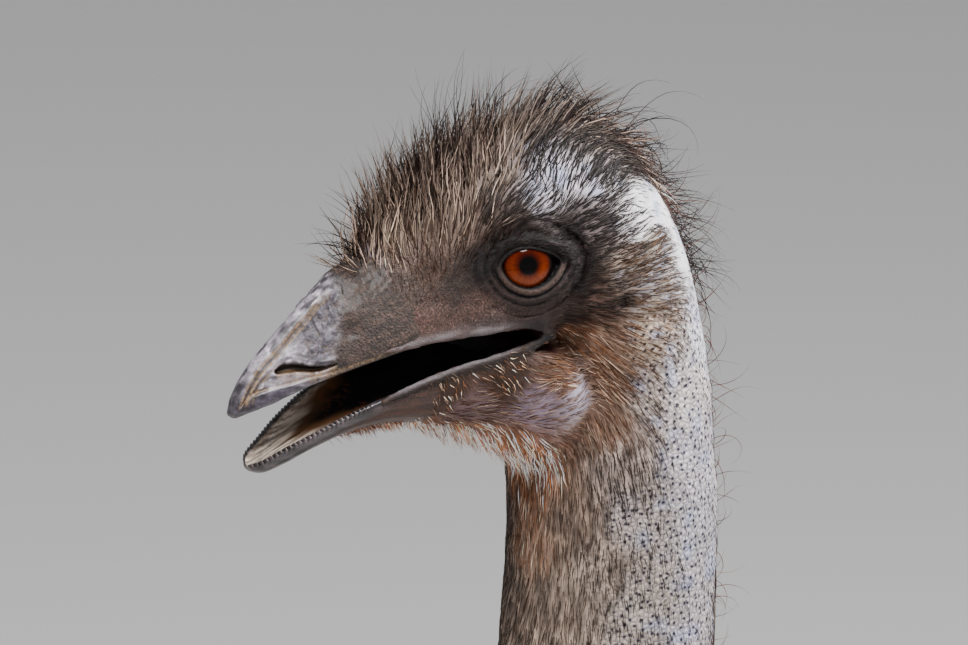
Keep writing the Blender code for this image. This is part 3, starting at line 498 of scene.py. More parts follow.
def lores_share(points):
    """1 behind the slanting line where the horn gives way to the pebbled skin of the face."""
    return ramp(points[..., 1] - 0.43 * (points[..., 2] - 28) + noise(points, 4, 13), 35.5, 40)


def bill_relief(points, out):
    """How far the bill's surface stands out, and the places where dirt and polish show."""
    side, back, up = np.moveaxis(folded(points), -1, 0)
    above = ramp(out[..., 2], 0.0, 0.35)
    nail = 3.5 + 0.5 * noise(points * (0, 1, 0), 9, 3)
    nail_fade = ramp(back, 40, 33) * above * ramp(back, 0.5, 3)
    groove = hill(side - nail - 0.35, 0.42) * nail_fade
    beside_groove = hill(np.abs(side - nail - 0.35) - 0.62, 0.34) * nail_fade
    second = hill(side - nail - 1.7 - back * 0.03, 0.3) * nail_fade * ramp(back, 20, 12)
    lip = np.interp(back, LIP_LINE[:, 0], LIP_LINE[:, 1])
    lip_groove = hill(up - lip, 0.45) * ramp(back, 1.5, 5) * ramp(back, 60, 40) * ramp(side, 2, 4)
    below_lip = ramp(up, lip + 0.2, lip - 1.2) * ramp(side, 1.5, 4)
    along, height, opening = nostril(points)
    window = ramp(along, -0.03, 0.06) * ramp(along, 1.04, 0.94)
    inside = window * np.clip(1 - (height / opening) ** 2, 0, 1) ** 0.5 * (side > 3)
    flap = window * hill(height - opening - 1.5, 1.5) * ramp(along, 0.05, 0.4) * (side > 3)
    rim = window * hill(height + opening + 0.35, 0.5) * (side > 3)
    soft = ramp(back, 20, 28) * ramp(up, lip + 3.5, lip + 6.5) * ramp(side, 2.5, 5)
    soft = soft * (1 - 0.8 * lores_share(points))
    folds = np.abs(noise(points, (2.6, 1.9, 2.6), 5)) + 0.35 * np.abs(noise(points, 1.1, 6))
    relief = (0.42 * ramp(side, nail, nail - 0.9) * nail_fade - 0.62 * groove - 0.3 * second
              - 0.4 * lip_groove + 0.35 * below_lip - 3.6 * inside + 1.25 * flap + 0.35 * rim
              + soft_forms(points, BILL_BUMPS) * above - 0.95 * soft * (1 - np.minimum(folds, 1))
              + 0.10 * noise(points, (0.8, 5, 1.6), 7) * above)
    dirt = np.clip(0.75 * beside_groove + 0.35 * second + 0.55 * lip_groove + 0.5 * rim
                   + 0.35 * hill(height + opening + 1.6, 1.5) * window
                   + 0.18 * soft * ramp(folds, 0.4, 0.1), 0, 1)
    creases = np.clip(groove + second * 0.8 + 0.85 * soft * ramp(folds, 0.26, 0.06), 0, 1)
    return relief, dirt, below_lip, inside, soft, creases


BILL_ROWS, BILL_COLUMNS = 250, 168
bill_places = np.linspace(0, BILL_END + 0.9, BILL_ROWS)
bill_grid = even_sections(BODY, bill_places, BILL_COLUMNS)
bill_grid = with_face_forms(bill_grid)
bill_out = grid_normals(bill_grid)
palate = ramp(bill_out[..., 2], -0.6, -0.9)
half_width = np.abs(bill_grid[..., 0]).max(axis=1, keepdims=True)
relief, dirt, polish, inside_nostril, soft_skin, creases = bill_relief(bill_grid, bill_out)
vault = palate * np.clip(1 - (np.abs(bill_grid[..., 0]) / (0.86 * half_width)) ** 3, 0, 1)
sunk = -0.9 * ramp(bill_places, BILL_END - 0.15, BILL_END + 0.5)[:, None]
bill_shape = bill_grid + bill_out * (relief * (1 - palate) + sunk)[..., None]
bill_shape[..., 2] += vault * np.minimum(2.6, 0.32 * half_width)
hooked = hill(bill_grid[..., 1], 5.5) * hill(bill_grid[..., 0], 4.5)
bill_shape += hooked[..., None] * np.array((0, 0.9, -2.7))
points, triangles = closed_tube(bill_shape)
upper_bill = mesh_piece("upper_bill", points, triangles)
print("upper bill:", len(triangles), "triangles")


def capped(values):
    """Values on a grid of points, with one for each of the tube's two end points."""
    flat = values.reshape(-1, values.shape[-1])
    return np.concatenate((flat, values[:1].mean(axis=1), values[-1:].mean(axis=1)))


def bill_colours(grid, out, relief_masks):
    """Grey horn with a lilac lip, dark at the tip, soft grey skin over the nostril, and painted shade in its
    grooves, nostril, underside and palate.
    """
    _, _, lip_mask, inside, soft, creases = relief_masks
    back = grid[..., 1]
    streaks = ramp(noise(grid, (1.4, 9, 1.7), 11), -0.35, 0.5)
    pale_streaks = ramp(noise(grid, (0.9, 6, 1.1), 14), 0.35, 0.7) * ramp(back, 4, 10)
    _, height, opening = nostril(grid)
    # the inside of the nostril is painted shade: near black above, tan below
    pit = mix(colour(24, 17, 14), colour(112, 90, 66), ramp(height / opening, 0.35, -0.5))
    return layered(
        mix(colour(154, 147, 154), colour(78, 71, 78), streaks), (colour(186, 180, 186), pale_streaks),
        (colour(78, 72, 82), lip_mask * 0.8), (colour(64, 58, 64), ramp(back, 11, 2) * 0.8),
        (colour(98, 92, 100), soft * 0.8),
        (colour(80, 65, 58) * (1 + 0.5 * noise(grid, 0.9, 12)[..., None]), lores_share(grid)),
        # painted shade: dark over the grooves and folds, and dark on the underside and the palate
        (colour(34, 28, 28), creases * 0.85), (pit, ramp(inside, 0.15, 0.6)),
        (colour(46, 32, 30), ramp(out[..., 2], -0.5, -0.85) * ramp(back, 6, 30)))


masks = (relief, dirt, polish, inside_nostril, soft_skin, creases)
paint(upper_bill, "tint", capped(bill_colours(bill_grid, bill_out, masks)))
skin_like = np.maximum(0.6 * soft_skin, lores_share(bill_grid))
paint(upper_bill, "marks", capped(np.stack((dirt, polish, skin_like), axis=-1)))

# %% [markdown]
# The lower bill is a shallow scoop. Its edges carry a row of small saw teeth that run round
# the tip and fade halfway back, and a fine groove runs down the middle of its floor. The
# same tube is pressed down along its top between the edges to make the scoop.

# %% The lower bill
RIM = 1.7
TOOTH = 1.65


def scoop(grid, places, out):
    """The jaw's points with the top pressed down between its edges, and the masks of its parts."""
    half = np.abs(grid[..., 0]).max(axis=1, keepdims=True)
    side = np.abs(grid[..., 0])
    top = ramp(out[..., 2], 0.35, 0.8)
    inner = np.clip(side / np.maximum(half - RIM, 0.3), 0, 1.2)
    depth = np.interp(places, (0, 0.5, 1.2, 3, 6, 9, 10.2, 11), (0, 0.5, 1.7, 3.6, 5.2, 5.6, 3.0, 0))[:, None]
    bowl = top * np.clip(1 - inner ** 4, 0, 1) ** 0.8
    shape = np.array(grid)
    shape[..., 2] -= bowl * depth
    return shape, bowl, half


LOWER_ROWS, LOWER_COLUMNS = 290, 120
lower_places = np.linspace(0, JAW_BILL_END + 0.8, LOWER_ROWS)
lower_grid = even_sections(JAW, lower_places, LOWER_COLUMNS)
lower_out = grid_normals(lower_grid)
lower_shape, bowl, lower_half = scoop(lower_grid, lower_places, lower_out)
edge = np.stack((lower_half[:, 0], lower_grid[..., 1].min(axis=1)), axis=-1)
edge_length = 2.0 + length_along(edge)
side = np.abs(lower_shape[..., 0])
rim_mask = ramp(side, lower_half - 2.0, lower_half - 1.0) * ramp(lower_out[..., 2], -0.25, 0.3)
phase = edge_length[:, None] / TOOTH % 1
tooth = np.where(phase < 0.7, phase / 0.7, (1 - phase) / 0.3)
teeth_reach = ramp(edge_length, 47, 37)[:, None] * ramp(edge_length, 1, 3)[:, None]
lower_shape[..., 2] += rim_mask * teeth_reach * (tooth - 0.35) * 1.1
lower_shape[..., 0] += np.sign(lower_shape[..., 0]) * rim_mask * teeth_reach * (tooth - 0.5) * 0.3
floor_line = hill(lower_shape[..., 0], 0.35) * bowl * ramp(lower_shape[..., 1], 10, 13)
floor_line = floor_line * ramp(lower_shape[..., 1], 34, 28)
lower_shape[..., 2] -= 0.5 * floor_line
lower_shape[..., 2] += 0.10 * bowl * noise(lower_shape * (1, 0.18, 1), 0.8, 21)
lower_shape += lower_out * (-0.9 * ramp(lower_places, JAW_BILL_END - 0.15, JAW_BILL_END + 0.5))[:, None, None]
points, triangles = closed_tube(lower_shape)
lower_bill = mesh_piece("lower_bill", points, triangles)

back = lower_shape[..., 1]
below_rim = lower_grid[..., 2].max(axis=1, keepdims=True) - lower_shape[..., 2]
beneath = np.maximum(ramp(below_rim, 3.2, 5.5) * ramp(back, 22, 40),
                     ramp(below_rim, 1.6, 3.2) * ramp(back, 42, 58))
throatward = back - 1.5 * np.abs(lower_shape[..., 0]) + 2.5 * noise(lower_shape, (2.5, 6, 3), 26)
rust = ramp(noise(lower_shape, 1.5, 23), 0.2, 0.55) * ramp(throatward, 27, 31)
rust = rust * ramp(throatward, 50, 40) * bowl
striated = ramp(noise(lower_shape, (0.6, 9, 3), 24), -0.4, 0.5)
in_bowl, toothed = ramp(bowl, 0.1, 0.5), rim_mask * teeth_reach
lower_tint = layered(
    mix(colour(80, 72, 75), colour(46, 40, 43), ramp(noise(lower_shape, (2, 7, 2), 22), -0.3, 0.5)),
    (colour(82, 55, 42), beneath * (bowl < 0.05)),
    (mix(colour(206, 194, 180), colour(150, 136, 124), striated), ramp(bowl, 0.1, 0.4)),
    # the bowl turns brown, then near black towards the throat: the brown is partly the floor's own colour,
    # and the dark layers are painted shade deep in the mouth
    (colour(104, 78, 56), in_bowl * ramp(throatward, 19, 29)),
    (colour(26, 16, 12), in_bowl * ramp(throatward, 29, 42)),
    (colour(9, 5, 4), in_bowl * ramp(throatward, 40, 52)), (colour(118, 74, 42), rust * 0.6),
    # painted shade: a dark line in the floor's groove, and dark gaps between the teeth, whose tips are pale
    (colour(24, 18, 17), floor_line * 0.9), (colour(132, 120, 112), toothed * ramp(tooth, 0.6, 0.95) * 0.7),
    (colour(16, 12, 12), toothed * ramp(tooth, 0.55, 0.2) * 0.95))
paint(lower_bill, "tint", capped(lower_tint))
lower_marks = np.stack((0 * bowl, (rim_mask * 0.6 + 0.2) * (1 - beneath), beneath * 0.7), axis=-1)
paint(lower_bill, "marks", capped(lower_marks))
print("lower bill:", len(triangles), "triangles,", int(edge_length[-1] / TOOTH), "teeth a side at most")


# %% [markdown]
# Horn is satin grey with fine streaks along its growth. Dry earth sits in its grooves, so the
# dirt layer is broken up by noise and is rougher than the horn. The lip is smoother and
# shinier, and the skin over the nostril has a fine pebbled bump.

# %% The horn's finish
horn, tree, shader = start_material("horn", IOR=1.5, Coat_Weight=0.12, Coat_Roughness=0.25)
tint, marks = painted(tree), masks_of(tree)
grain = spots(tree, 900, Detail=5.0, Roughness=0.6).outputs["Fac"]
streaks = spots(tree, 520, stretch=(1.0, 0.12, 1.0), Detail=4.0, Roughness=0.65).outputs["Fac"]
worn = speckled(tree, tint, streaks, ((0.34, 0.35), (0.5, 0.95), (0.68, 1.9)), 0.85)
worn = speckled(tree, worn, grain, ((0.35, 0.65), (0.65, 1.4)), 0.55)
crumbs = spots(tree, 1500, Detail=3.0, Roughness=0.7).outputs["Fac"]
crumbled = speckled(tree, worn, crumbs, ((0.36, 0.4), (0.55, 0.95), (0.72, 2.2)))
worn = mix_node(tree, worn, crumbled, marks[2])
earth_share = math_node(tree, "MULTIPLY", marks[0], ramp_node(tree, grain, ((0.38, 0.15), (0.55, 1.0))))
earthy = mix_node(tree, worn, tuple(colour(168, 142, 112)), earth_share)
feed(shader, earthy)
gloss = mix_node(tree, 0.5, 0.28, marks[1])
rough_share = math_node(tree, "MAXIMUM", earth_share, marks[2])
feed(shader, mix_node(tree, gloss, 0.78, rough_share), "Roughness")
fine = bump_node(tree, shader, streaks, 0.00022)
pebbles = spots(tree, 1500, kind="Voronoi", feature="SMOOTH_F1").outputs["Distance"]
pebble_height = math_node(tree, "MULTIPLY", pebbles, marks[2])
bump_node(tree, shader, pebble_height, 0.00045, under=fine)
mouth_look, tree, shader = start_material("mouth", Roughness=0.7, Specular_IOR_Level=0.05)
feed(shader, painted(tree))


def give_mouth(piece, within_mouth):
    """Faces whose points all lie inside the mouth get its dark, dull finish as a second material."""
    piece.data.materials.append(mouth_look)
    inside = np.array([all(within_mouth[v] for v in face.vertices) for face in piece.data.polygons])
    piece.data.polygons.foreach_set("material_index", inside.astype(np.int32))


upper_bill.data.materials.append(horn)
give_mouth(upper_bill, capped(palate[..., None])[:, 0] > 0.5)
lower_bill.data.materials.append(horn)
give_mouth(lower_bill, capped((bowl * ramp(throatward, 12, 18))[..., None])[:, 0] > 0.3)
for piece, node in ((upper_bill, "bill_upper"), (lower_bill, "bill_lower")):
    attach(piece, "root")
    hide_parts(node)
print("bill finished in horn")

# %% [markdown]
# A groomer's map says what each part of the head and neck is like: the colour of its skin,
# and how its hair-like feathers lie. The lie is an angle seen from the left: 0 points back
# along the head, 90 up, 180 forward and -90 down. Between the listed places everything
# blends, so the skin and the coat carry the same markings.

# %% The map of skin and coat
# x, y, z | skin red, green, blue | lie, lift, length, hairs a square millimetre | hair red, green, blue
SKIN_SHADE, LIE, LIFT, LENGTH, DENSITY, HAIR_SHADE = (3, 4, 5), 6, 7, 8, 9, (10, 11, 12)
MAP = np.array([
    # forehead and crown
    (3.6, 52, 44, 150, 138, 142, 100, 36, 26, 1.0, 62, 46, 38),
    (10.5, 63.6, 46.9, 130, 112, 102, 98, 30, 23, 1.1, 66, 50, 40),
    (15.5, 72.4, 48.9, 128, 110, 100, 94, 29, 24, 1.05, 60, 46, 38),
    (19.9, 81.6, 51.8, 126, 108, 98, 86, 26, 23, 1.05, 60, 45, 37),
    (23.8, 91.2, 55.5, 118, 100, 92, 68, 20, 17, 1.1, 56, 44, 38),
    (27.7, 100.8, 58.0, 108, 93, 88, 48, 14, 10, 1.2, 52, 41, 38),
    (27.7, 107, 60.5, 168, 164, 170, 28, 12, 9, 0.9, 54, 44, 41),
    (3, 66, 53.5, 130, 112, 102, 102, 44, 27, 1.1, 56, 41, 34),
    (3, 80, 61.5, 130, 114, 104, 97, 48, 26, 1.1, 54, 40, 34),
    (3, 96, 69, 134, 118, 110, 84, 46, 25, 1.0, 48, 36, 32),
    (3, 113, 75, 144, 130, 124, 62, 42, 25, 0.95, 46, 35, 31),
    (3, 128, 78, 150, 136, 132, 38, 38, 27, 0.9, 44, 34, 31),
    (3, 143, 77, 160, 146, 142, 2, 34, 27, 0.9, 46, 34, 30),
    (3, 157, 70, 185, 172, 168, -34, 32, 24, 0.8, 60, 40, 32),
    (3, 169, 59, 215, 210, 212, -60, 32, 22, 0.25, 80, 50, 38),
    (14, 100, 66, 150, 136, 128, 88, 30, 26, 0.85, 58, 44, 37),
    (12, 85, 60, 136, 120, 110, 97, 36, 27, 1.0, 58, 44, 37),
    (14.5, 119.8, 73.8, 184, 178, 184, 62, 20, 23, 0.6, 50, 40, 37),
    (23.8, 123, 68, 216, 210, 216, 56, 11, 19, 0.5, 44, 36, 36),
    (26.5, 115, 64, 196, 190, 196, 72, 11, 18, 0.6, 46, 38, 37),
    (27, 135.5, 63.4, 196, 188, 190, 34, 8, 15, 1.0, 48, 40, 38),
    (16, 140, 73, 150, 138, 134, 24, 20, 18, 0.9, 58, 44, 38),
    (20, 150, 66, 176, 164, 160, 6, 14, 17, 1.0, 60, 46, 40),
    (27, 153, 54, 250, 248, 252, -10, 8, 9, 0.10, 90, 76, 74),
    (24, 164, 50, 252, 250, 253, -40, 8, 8, 0.04, 120, 110, 110),
    # behind the eye and the ear
    (32.5, 127, 48.6, 136, 124, 122, 13, 7, 11, 1.3, 44, 35, 33),
    (29.8, 148, 46.5, 244, 238, 242, 10, 5, 9, 0.5, 52, 42, 42),
    (33, 141.6, 32.3, 186, 170, 158, 9, 8, 14, 1.1, 84, 62, 46),
    (31, 153, 35, 205, 195, 185, 14, 7, 13, 0.9, 88, 66, 50),
    (31, 154, 22, 200, 188, 178, -4, 6, 12, 0.8, 92, 72, 58),
    (22.7, 174, 31.5, 248, 246, 250, -20, 6, 6, 0.04, 110, 100, 104),
    (31.5, 132, 23, 120, 96, 86, -3, 7, 11, 1.1, 58, 42, 34),
    (30, 121, 48, 46, 35, 31, 18, 8, 8, 1.4, 38, 29, 26),
    (30, 103, 50.5, 54, 42, 38, 14, 8, 6, 1.5, 48, 36, 33),
    (26, 92, 49, 60, 46, 41, 76, 12, 8, 1.3, 66, 50, 43),
    (26, 84.5, 44.8, 50, 36, 30, 74, 9, 5, 1.0, 60, 44, 37),
    # next row: dark skin in front of the eye, deepened by a painted shadow of the brow
    (28.5, 93, 44.5, 30, 16, 10, 40, 8, 4, 0.9, 36, 22, 14),
    (32, 121, 38, 36, 20, 12, 4, 6, 6, 1.3, 32, 18, 10),
    (31.5, 121.5, 29, 38, 22, 13, -2, 7, 6, 1.4, 36, 20, 12),
    (29.5, 122.5, 17, 48, 30, 20, -10, 14, 8, 1.5, 54, 34, 22),
    # lores, lids and lips
    # next row: in front of the eye too, dark skin with a painted shadow of the brow
    (28.5, 87.5, 38.8, 38, 22, 15, 40, 6, 2, 0.2, 60, 44, 36),
    (16.2, 59.2, 36.8, 100, 86, 80, 98, 16, 3.4, 0.8, 84, 64, 52),
    (13, 50, 36, 126, 114, 116, 110, 10, 1.5, 0.1, 84, 64, 52),
    (22.5, 66.9, 25.5, 108, 86, 78, 10, 8, 1.2, 0.12, 90, 70, 58),
    (20, 70, 42, 96, 76, 66, 96, 12, 6, 1.1, 78, 58, 46),
    (25, 77, 37, 66, 51, 45, 60, 8, 1.8, 0.3, 76, 56, 46),
    (26.7, 84.7, 26.8, 100, 78, 70, 10, 6, 1.2, 0.12, 80, 60, 50),
    (26.8, 105.8, 24.9, 80, 63, 58, -4, 6, 2.2, 0.25, 70, 50, 42),
    (28.9, 117, 25.2, 60, 45, 40, -4, 8, 5, 0.9, 60, 43, 34),
    (22, 87, 19.6, 104, 94, 94, 0, 4, 1, 0.02, 80, 60, 50),
    (24, 110, 17.5, 86, 76, 76, 0, 4, 1, 0.02, 80, 60, 50),
    # cheek, jaw and throat
    (27, 124, 12, 108, 80, 66, -18, 12, 7, 1.1, 138, 96, 66),
    (29.4, 138, 7.5, 160, 134, 118, -28, 8, 12, 1.1, 118, 88, 68),
    (31, 151, 8, 220, 202, 184, -26, 6, 10, 0.4, 112, 86, 64),
    (30, 152, -12, 204, 192, 184, -48, 6, 9, 0.45, 96, 80, 70),
    (26.1, 136.7, -7.1, 132, 108, 94, -40, 9, 12, 1.2, 126, 94, 72),
    (28.3, 117.6, -1.0, 116, 88, 74, -14, 9, 8, 1.1, 134, 98, 70),
    (20, 85.6, -9, 132, 110, 112, 14, 6, 7, 0.7, 98, 74, 62),
    (26, 110.7, -10.3, 152, 136, 150, 24, 7, 7, 0.65, 112, 90, 78),
    (26.5, 128, -10.5, 192, 184, 198, 26, 7, 7, 0.5, 118, 94, 84),
    (18.5, 57, -3, 84, 68, 60, -20, 8, 2.5, 0.3, 80, 56, 42),
    (22, 75.5, 0, 76, 56, 45, -64, 24, 4.2, 0.9, 86, 60, 38),
    (25, 98, 2.5, 72, 52, 41, -54, 22, 4.6, 1.1, 86, 58, 36),
    (6, 60, -13.5, 130, 94, 74, -44, 44, 6, 1.0, 150, 98, 66),
    (8, 85, -20, 134, 98, 76, -46, 42, 9, 1.2, 152, 100, 66),
    (10, 106, -26.5, 146, 108, 86, -52, 36, 10, 1.2, 160, 108, 74),
    (5, 121, -37, 152, 114, 92, -72, 28, 11, 1.2, 160, 110, 78),
    (1, 126.5, -47, 156, 122, 102, -86, 18, 10, 1.0, 136, 98, 72),
    (25.7, 137, -21, 132, 108, 94, -68, 8, 8, 1.0, 114, 84, 64),
    # the neck, dark-haired in front and bare behind
    (29.5, 143, -39, 160, 146, 138, -82, 7, 7, 0.8, 60, 50, 45),
    (32.7, 149, -57.6, 188, 178, 172, -88, 6, 5.5, 0.42, 56, 49, 48),
    (34, 151, -86, 188, 178, 170, -89, 6, 5.5, 0.42, 56, 49, 47),
    (16.9, 131, -58, 148, 130, 118, -90, 9, 7, 0.85, 86, 70, 60),
    (0, 126, -66, 156, 132, 116, -90, 14, 7.5, 0.8, 130, 100, 80),
    (13.9, 129.4, -87, 156, 140, 128, -90, 8, 7, 0.8, 86, 72, 62),
    (27, 138, -75, 164, 150, 139, -90, 7, 6.5, 0.75, 72, 61, 54),
    (32, 168, -14, 222, 214, 210, -70, 4, 5, 0.06, 80, 74, 76),
    (33.7, 172, -40, 210, 204, 206, -86, 4, 5, 0.08, 66, 62, 66),
    (33.7, 176, -62, 200, 196, 198, -88, 4, 5, 0.10, 66, 62, 66),
    (34, 175, -91, 198, 190, 190, -88, 5, 5, 0.14, 66, 60, 64),
    (24, 183, 2, 244, 242, 246, -70, 4, 5, 0.04, 110, 104, 108),
    (18, 194, -50, 224, 218, 220, -88, 5, 6, 0.08, 90, 80, 80),
    (3, 199, -60, 214, 206, 206, -88, 12, 9, 0.25, 80, 58, 48),
    (20, 194, -100, 194, 184, 180, -89, 7, 10, 0.3, 68, 56, 51),
    (25, 185, -140, 176, 166, 164, -90, 8, 15, 0.45, 60, 50, 46),
    (25, 135, -140, 156, 146, 142, -90, 9, 15, 0.7, 62, 52, 47),
    (20, 190, -190, 140, 134, 142, -90, 10, 24, 0.6, 54, 44, 40),
    (20, 125, -190, 136, 130, 136, -90, 10, 24, 0.6, 54, 44, 40),
])


def from_map(points, columns):
    """Columns of the map at points of the head and neck, blended by closeness."""

    def blended(part):
        weight = 1 / (((part[:, None, :] - MAP[:, :3]) ** 2).sum(axis=2) + 2.0) ** 2.2
        return weight @ MAP[:, columns] / weight.sum(axis=1, keepdims=True)

    return in_blocks(folded(points).astype(np.float32), 20000, blended)


print("the map holds", len(MAP), "places")

# %% [markdown]
# The skin of the head is the head's tube and the jaw's tube, laid into one another and
# remeshed as one closed surface, which rounds the corner of the mouth and the angle of the
# throat as flesh does. A soft cord of lip follows each edge of the mouth. The lids are added
# after it, because their folds are finer than the remesh can hold.

# %% Skin of the head and upper neck
HEAD_VOXEL = 1.05
NECK_SKIN_END = 23.8


def apply_modifier(piece, kind, **settings):
    """Adds a modifier and applies it, as by hand."""
    made = piece.modifiers.new(kind.lower(), kind)
    for key, value in settings.items():
        setattr(made, key, value)
    bpy.ops.object.select_all(action="DESELECT")
    bpy.context.view_layer.objects.active = piece
    piece.select_set(True)
    bpy.ops.object.modifier_apply(modifier=made.name)


def joined(name, tubes):
    """One mesh that holds several closed tubes."""
    all_points, all_triangles, start = [], [], 0
    for tube_points, tube_faces in tubes:
        all_points.append(tube_points)
        all_triangles.append(tube_faces + start)
        start += len(tube_points)
    return mesh_piece(name, np.concatenate(all_points), np.concatenate(all_triangles))


def points_of(piece):
    """A mesh's points in millimetres from the bill's tip, and the directions out of it."""
    mesh = piece.data
    places = np.zeros(len(mesh.vertices) * 3, np.float32)
    mesh.vertices.foreach_get("co", places)
    out = np.zeros(len(mesh.vertices) * 3, np.float32)
    mesh.vertex_normals.foreach_get("vector", out)
    return (places.reshape(-1, 3).astype(float) - TIP) / MM, out.reshape(-1, 3).astype(float)


def set_points(piece, places):
    piece.data.vertices.foreach_set("co", world(places).astype(np.float32).ravel())
    piece.data.update()


def sweep(line, radius, count=10):
    """A closed tube of a varying radius along a line of points."""
    along = unit(np.gradient(line, axis=0))
    across = unit(np.cross(along, (0, 0, 1.0)))
    angle = 2 * np.pi * np.arange(count)[:, None] / count
    ring = across[:, None] * np.cos(angle) + np.cross(across, along)[:, None] * np.sin(angle)
    return closed_tube(line[:, None] + ring * np.asarray(radius)[:, None, None])


UPPER_LIP = np.array([(18.6, 50, 16.4), (20.8, 61, 17.5), (22.6, 70.5, 18.5), (24.1, 80, 18.5),
                      (25.2, 90, 18.3), (25.8, 100.5, 18.2), (25.6, 108, 17.0), (25.0, 114, 14.6),
                      (24.6, 118.5, 12.4)])
LOWER_LIP = np.array([(17.4, 50, -1.6), (19.2, 61, 1.5), (20.9, 71, 4.1), (22.4, 81, 6.0), (23.6, 90, 7.0),
                      (24.3, 97, 8.0), (24.9, 104, 9.0), (25.1, 111, 10.4), (24.6, 118.5, 12.4)])


def lip_cords(side):
    """The soft edge of the mouth above and below, which meet at its corner."""
    share = np.linspace(0, 1, 60)
    cords = []
    for line, size in ((UPPER_LIP, 1.5), (LOWER_LIP, 1.75)):
        curve = sections_at(line, share * (len(line) - 1)) * (side, 1, 1)
        cords.append(sweep(curve, size * ramp(share, -0.2, 0.15) * ramp(share, 1.25, 0.8)))
    return cords


EYE_AXIS = np.array((math.cos(EYE_FORWARD) * math.cos(EYE_UP), -math.sin(EYE_FORWARD) * math.cos(EYE_UP),
                     math.sin(EYE_UP)))
HOLLOW_OUT, HOLLOW_RADIUS = 28.0, 19.0


def with_eye_hollows(points):
    """Points within the bowl that each eye looks out of are pressed onto the bowl."""
    moved = np.array(points)
    for side in (1, -1):
        axis = EYE_AXIS * (side, 1, 1)
        from_hub = moved - (EYE_CENTRE * (side, 1, 1) + axis * HOLLOW_OUT)
        along = (from_hub * axis).sum(axis=-1)
        off = (from_hub ** 2).sum(axis=-1) - along ** 2
        wall = -np.sqrt(np.maximum(HOLLOW_RADIUS ** 2 - off, 0))
        inside = (off < HOLLOW_RADIUS ** 2) & (along > wall) & (np.abs(along) < HOLLOW_RADIUS)
        moved += np.where(inside, wall - along, 0)[..., None] * axis
    return moved


SQUARE_EDGE = {6: 4.8, 7: 6.0, 8: 7.0, 9: 7.0, 10: 4.5, 11: 2.8}  # the face ends squarely over the mouth
face_sections = BODY.copy()
face_sections[list(SQUARE_EDGE), 7] = list(SQUARE_EDGE.values())
head_places = np.linspace(BILL_END - 0.3, NECK_SKIN_END, 340)
head_grid = with_face_forms(even_sections(face_sections, head_places, 190))
head_out = grid_normals(head_grid)
head_grid += head_out * np.interp(head_places, (BILL_END - 0.3, BILL_END + 0.35), (-1.0, 0.1))[:, None, None]
head_grid = with_eye_hollows(head_grid)
jaw_places = np.linspace(JAW_BILL_END - 0.3, len(JAW) - 1, 130)
jaw_grid = even_sections(JAW, jaw_places, 130)
jaw_out = grid_normals(jaw_grid)
jaw_grid, _, _ = scoop(jaw_grid, jaw_places, jaw_out)
tucked_in = np.interp(jaw_places, (JAW_BILL_END - 0.3, JAW_BILL_END + 0.35), (-1.0, 0.1))
jaw_grid += jaw_out * tucked_in[:, None, None]
head_skin = joined("head_skin", [closed_tube(head_grid), closed_tube(jaw_grid)]
                   + lip_cords(1) + lip_cords(-1))
apply_modifier(head_skin, "REMESH", mode="VOXEL", voxel_size=HEAD_VOXEL * MM, use_smooth_shade=True)
apply_modifier(head_skin, "SMOOTH", factor=0.5, iterations=2)
places, out = points_of(head_skin)
_, back, up = places.T
soft_fold = ramp(back, 102, 118) * ramp(back, 162, 146) * ramp(up, 8, -1) * ramp(up, -66, -50)
fold_group = head_skin.vertex_groups.new(name="jaw_angle")
for index in np.nonzero(soft_fold > 0.02)[0]:
    fold_group.add([int(index)], float(soft_fold[index]), "REPLACE")
apply_modifier(head_skin, "SMOOTH", factor=0.9, iterations=70, vertex_group="jaw_angle")
head_skin.vertex_groups.clear()
places, out = points_of(head_skin)
print("head skin:", len(places), "points")

# %% [markdown]
# Folds and pits come next. They push the remeshed points a little in or out: fine creases
# run back from the corner of the mouth and over the face in front of the eye, the ear is a
# small cup behind the cheek, and the neck has faint soft bumps.

# %% Folds, pits and the ear's cup
EAR = np.array((34.0, 143.0, 20.0))
face = ramp(places[:, 1], 50, 60) * ramp(places[:, 1], 130, 118) * ramp(places[:, 2], 14, 20)
creases = 1 - np.abs(noise(places, (6, 5.5, 2.4), 31))
relief = 0.35 * face * (ramp(creases, 0.75, 1.0) * -1 + 0.3 * noise(places, 3.0, 32))
relief -= 4.2 * hill(np.linalg.norm(folded(places) - EAR, axis=1), 3.0)
relief += 0.5 * noise(places, 7, 33) * ramp(places[:, 2], -10, -30) + 0.15 * noise(places, 2.5, 34)
set_points(head_skin, places + out * relief[:, None])
apply_modifier(head_skin, "DECIMATE", ratio=0.42)
head_points, _ = points_of(head_skin)


def tree_of(piece):
    """A search tree over a mesh, in millimetres."""
    places, _ = points_of(piece)
    return BVHTree.FromPolygons(places.tolist(), [tuple(p.vertices) for p in piece.data.polygons])


head_tree = tree_of(head_skin)
print("folds up to", round(float(np.abs(relief).max()), 2), "mm")

# %% [markdown]
# Two lids close on the eye in an almond. The lower lid is a pale band with a crease under it
# and a second fold below that, and the upper lid is thinner and tucks under the brow. They
# are a sheet that starts on the eyeball, follows the outline of the opening outwards, and
# dips under the skin of the head, so that no edge shows.

# %% Lids round the eyes
EYE_UPWARD = unit(np.array((0, 0, 1.0)) - EYE_AXIS * EYE_AXIS[2])
EYE_BACKWARD = np.cross(EYE_UPWARD, EYE_AXIS)
OPENING = np.array([(10.8, 0.2), (8.7, 2.2), (5.4, 3.7), (0.6, 4.9), (-3.6, 4.4), (-6.3, 2.8), (-8.0, 0.0),
                    (-6.8, -2.9), (-4.3, -5.6), (-0.4, -7.2), (3.2, -7.0), (6.9, -5.1), (9.5, -2.5)])
LID_COLUMNS, LID_REACH = 144, 12.0
LID_ROWS = np.concatenate((np.linspace(-1.8, 0, 6), np.linspace(0.2, 2.0, 9),
                           np.linspace(2.3, LID_REACH, 26)))


